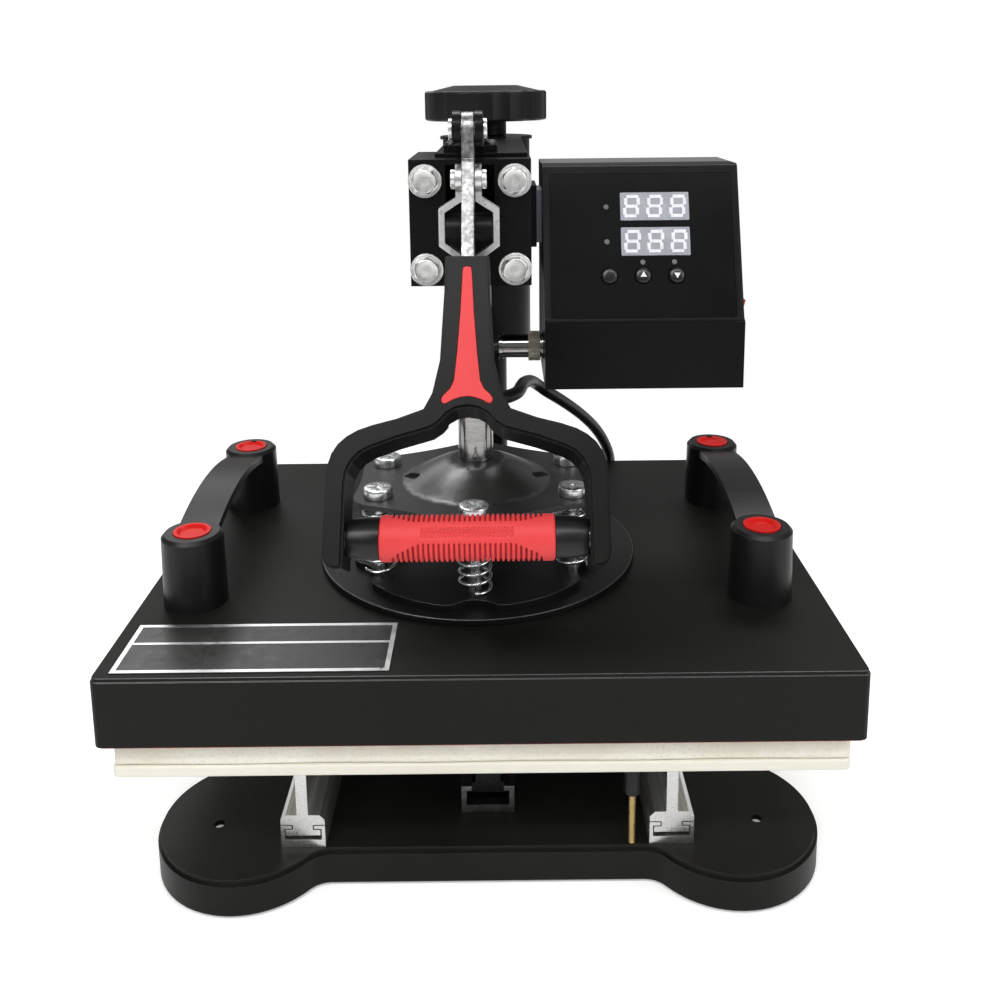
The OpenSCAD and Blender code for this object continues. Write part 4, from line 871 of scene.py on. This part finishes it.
# ---- Heater socket and ring ----
# Nickel-plated circular connector: a smooth barrel, a collar on the box's side and a
# pale brass ring with a crossed knurl that screws the plug home.
RING_MID = (29 * MM, -47 * MM, 276.4 * MM)
KNURLS_ROUND, KNURLS_ALONG = 36.0, 3600.0
# The barrel uses the rod's chrome, painted dark as a reflection.
eased("heater_socket", 0.45 * MM, chrome_painted_dark, "head", "zinc")
knurled, tree, shader = finish("knurled_ring", (0.55, 0.52, 0.42), 0.28, metal=1)
place = tree.nodes.new("ShaderNodeTexCoord")
parts = tree.nodes.new("ShaderNodeSeparateXYZ")
shifted = tree.nodes.new("ShaderNodeVectorMath")
shifted.operation = "SUBTRACT"
shifted.inputs[1].default_value = RING_MID
tree.links.new(place.outputs["Object"], shifted.inputs[0])
tree.links.new(shifted.outputs[0], parts.inputs[0])
angle = worked(tree, "ARCTAN2", parts.outputs["Y"], parts.outputs["Z"])
round_way = worked(tree, "MULTIPLY", angle, KNURLS_ROUND)
along_way = worked(tree, "MULTIPLY", parts.outputs["X"], KNURLS_ALONG)
first_cut = worked(tree, "SINE", worked(tree, "ADD", round_way, along_way))
second_cut = worked(tree, "SINE", worked(tree, "SUBTRACT", round_way, along_way))
points = worked(tree, "MULTIPLY", worked(tree, "ABSOLUTE", first_cut),
                worked(tree, "ABSOLUTE", second_cut))
two_tone(tree, points, (0.34, 0.31, 0.22), (0.80, 0.77, 0.66), shader)
bump(tree, points, shader, 0.35)
tree.links.new(ramp(tree, points, 0, 1, 0.42, 0.22), shader.inputs["Roughness"])
eased("coupling_ring", 0.5 * MM, knurled, "ring", "brass")

# ---- Handle frame and inlay ----
# Die-cast alloy handle: a tapered neck that spreads into two arms, black paint over soft
# casting skin, edges rounded by the die, with a highlight painted on them. A red rubber
# inlay is pressed into its face.
cast_paint = coated("cast_paint", (0.0062, 0.0062, 0.0058), (0.0105, 0.0105, 0.010), (0.3, 0.42),
                    900, 0.05, gloss=0.13)
LEVER_AT = (Matrix.Translation((-6 * MM, -92 * MM, 390 * MM))
            @ Matrix.Rotation(math.radians(60), 4, "X"))
FACE_WAY = LEVER_AT.to_3x3().col[2]
casting = eased("handle_frame", 1.8 * MM, cast_paint, "lever", "handle_alloy", sharp=36, steps=4)
# Painted highlight on the casting's rounded edges.
second_finish(casting, rubbed_edge, lambda face: 0.35 < abs(face.normal.dot(FACE_WAY)) < 0.95)
red_rubber = coated("red_rubber", (0.64, 0.047, 0.050), (0.74, 0.066, 0.070), (0.42, 0.55), 850,
                    0.05, gloss=0.2)
eased("handle_inlay", 0.45 * MM, red_rubber, "lever", "red_rubber", sharp=50)

# ---- Grip ----
# Moulded red rubber sleeve on the cross bar: ribs round its back, in a short band above
# and an arched band below, a plain belt between them and a knurled panel in the belt. The
# sunk faces are painted a darker red as shade.
GRIP_HALF, GRIP_R, GRIP_BORE_SHARE = 40 * MM, 10.6 * MM, 0.60
RIB_PITCH, RIB_DEEP = 2.33 * MM, 1.1 * MM
KNURL_PITCH, KNURL_SLANT = 1.5, 0.185
SUNK_DEEP, SUNK_WITHIN = 0.7 * MM, 38 * MM
ROUNDS, ROWS = 274, 168
GRIP_AT = LEVER_AT @ Matrix.Translation((0, -194.5 * MM, 0))


def step_up(value, low, high):
    """Smooth 0 to 1 as value goes from low to high."""
    share = min(1, max(0, (value - low) / (high - low)))
    return share * share * (3 - 2 * share)


def grip_radius(x, around):
    """Radius of the sleeve at x along it; around is in degrees, 0 at the front, 90 above."""
    out = abs(x) / MM
    lower = 18 + 31 * step_up(out, 20, 35) + 14 * step_up(out, 31, 35)
    upper = 37 + 18 * step_up(out, 24, 35)
    from_front = (around + 180) % 360 - 180
    ribbed = max(step_up(-from_front, lower, lower + 5), step_up(from_front, upper, upper + 5))
    ribbed *= 1 - step_up(out, 34.4, 34.9)
    groove = step_up(-math.cos(math.tau * x / RIB_PITCH), -0.15, 0.75)
    radius = GRIP_R - RIB_DEEP * groove * ribbed
    panel = (1 - step_up(out, 20.6, 21)) * step_up(from_front, -7, -5.5)
    panel *= 1 - step_up(from_front, 22.5, 24)
    slant = from_front * KNURL_SLANT
    cuts = (abs(math.sin(math.pi * (x / MM + slant) / KNURL_PITCH))
            * abs(math.sin(math.pi * (x / MM - slant) / KNURL_PITCH)))
    radius -= panel * (0.85 - 0.75 * cuts) * MM
    return radius - 0.7 * MM * step_up(out, 38.9, 40) ** 2


skin_points, skin_faces = [], []
for i in range(ROUNDS + 1):
    x = -GRIP_HALF + 2 * GRIP_HALF * i / ROUNDS
    for k in range(ROWS):
        around = 360 * k / ROWS
        radius = grip_radius(x, around)
        skin_points.append((x, radius * math.sin(math.radians(around)),
                            radius * math.cos(math.radians(around))))
for i in range(ROUNDS):
    here, there = i * ROWS, (i + 1) * ROWS
    for k in range(ROWS):
        beside = (k + 1) % ROWS
        skin_faces.append((here + k, there + k, there + beside, here + beside))
mesh = bpy.data.meshes.new("rubber_grip")
mesh.from_pydata(skin_points, [], skin_faces)
grip = bpy.data.objects.new("rubber_grip", mesh)
bpy.context.collection.objects.link(grip)
only(grip)
bpy.ops.object.mode_set(mode="EDIT")
bpy.ops.mesh.select_all(action="DESELECT")
bpy.ops.mesh.select_mode(type="EDGE")
bpy.ops.mesh.select_non_manifold(extend=False)
bpy.ops.mesh.extrude_region_move()
bpy.ops.transform.resize(value=(1, GRIP_BORE_SHARE, GRIP_BORE_SHARE), center_override=(0, 0, 0))
bpy.ops.mesh.select_all(action="SELECT")
bpy.ops.mesh.normals_make_consistent(inside=False)
bpy.ops.object.mode_set(mode="OBJECT")
bpy.ops.object.shade_smooth_by_angle(angle=math.radians(60))
# Painted shade: faces sunk in the grooves and knurl cuts get a darker red.
sunk = [GRIP_R - math.hypot(face.center.y, face.center.z) > SUNK_DEEP
        and abs(face.center.x) < SUNK_WITHIN for face in grip.data.polygons]
grip.data.transform(GRIP_AT)
groove_shade_red = coated("red_rubber_groove", (0.30, 0.012, 0.014), (0.40, 0.02, 0.022), (0.5, 0.62),
                    850, 0.05, gloss=0.2)
painted(grip, red_rubber)
second_finish(grip, groove_shade_red, lambda face: sunk[face.index])
fixed_on(grip, "lever", "red_rubber", "grip_sleeve")

# ---- Grip ends and bar ----
# Black moulded collars close the sleeve at both ends and taper to the arms; the steel bar
# runs through them and is riveted in the handle.
COLLAR_START = 40.1
COLLAR_PROFILE = [(6.05, 0.0), (9.2, 0.0), (9.65, 0.25), (9.8, 0.8), (9.7, 6), (9.35, 10),
                  (8.75, 13.4), (8.3, 15.0), (7.7, 15.4), (6.05, 15.4)]
for index, way in enumerate((-1, 1)):
    profile = [(out, COLLAR_START + along) for out, along in COLLAR_PROFILE]
    collar = lathe(f"grip_collar_{index}", profile, (0, 0, 0), 56, (way, 0, 0))
    collar.data.transform(GRIP_AT)
    painted(collar, moulded_black)
    fixed_on(collar, "lever", "black_plastic", "grip_ends")
eased("grip_bar", 0.3 * MM, zinc_plate, "lever", "zinc")

# ---- Lever bar, link pin and link ----
# Laser-cut and bent zinc-plated strips: the lever's flat bar, mottled and scuffed where the
# pieces rub, and the two bent halves of the hexagonal link with their pin, bright still.
scuffed, tree, shader = finish("scuffed_zinc", (0.7, 0.7, 0.7), 0.3, metal=1)
speck = ramp(tree, cloud(tree, 330, 7, 0.75), 0.42, 0.6)
drawn = use(tree, brushing, Across_X=500, Across_Y=30, Across_Z=30, Rough_Low=0.22,
            Rough_High=0.42)
two_tone(tree, speck, (0.17, 0.17, 0.17), (0.42, 0.42, 0.415), shader)
tree.links.new(drawn.outputs["Rough"], shader.inputs["Roughness"])
bump(tree, worked(tree, "ADD", speck, drawn.outputs["Height"]), shader, 0.06)
eased("lever_bar", 0.6 * MM, scuffed, "lever", "zinc", sharp=40)
eased("link_pin", 0.5 * MM, zinc_bright, "lever", "zinc")
eased("link_strips", 0.45 * MM, zinc_bright, "link", "zinc", sharp=30)
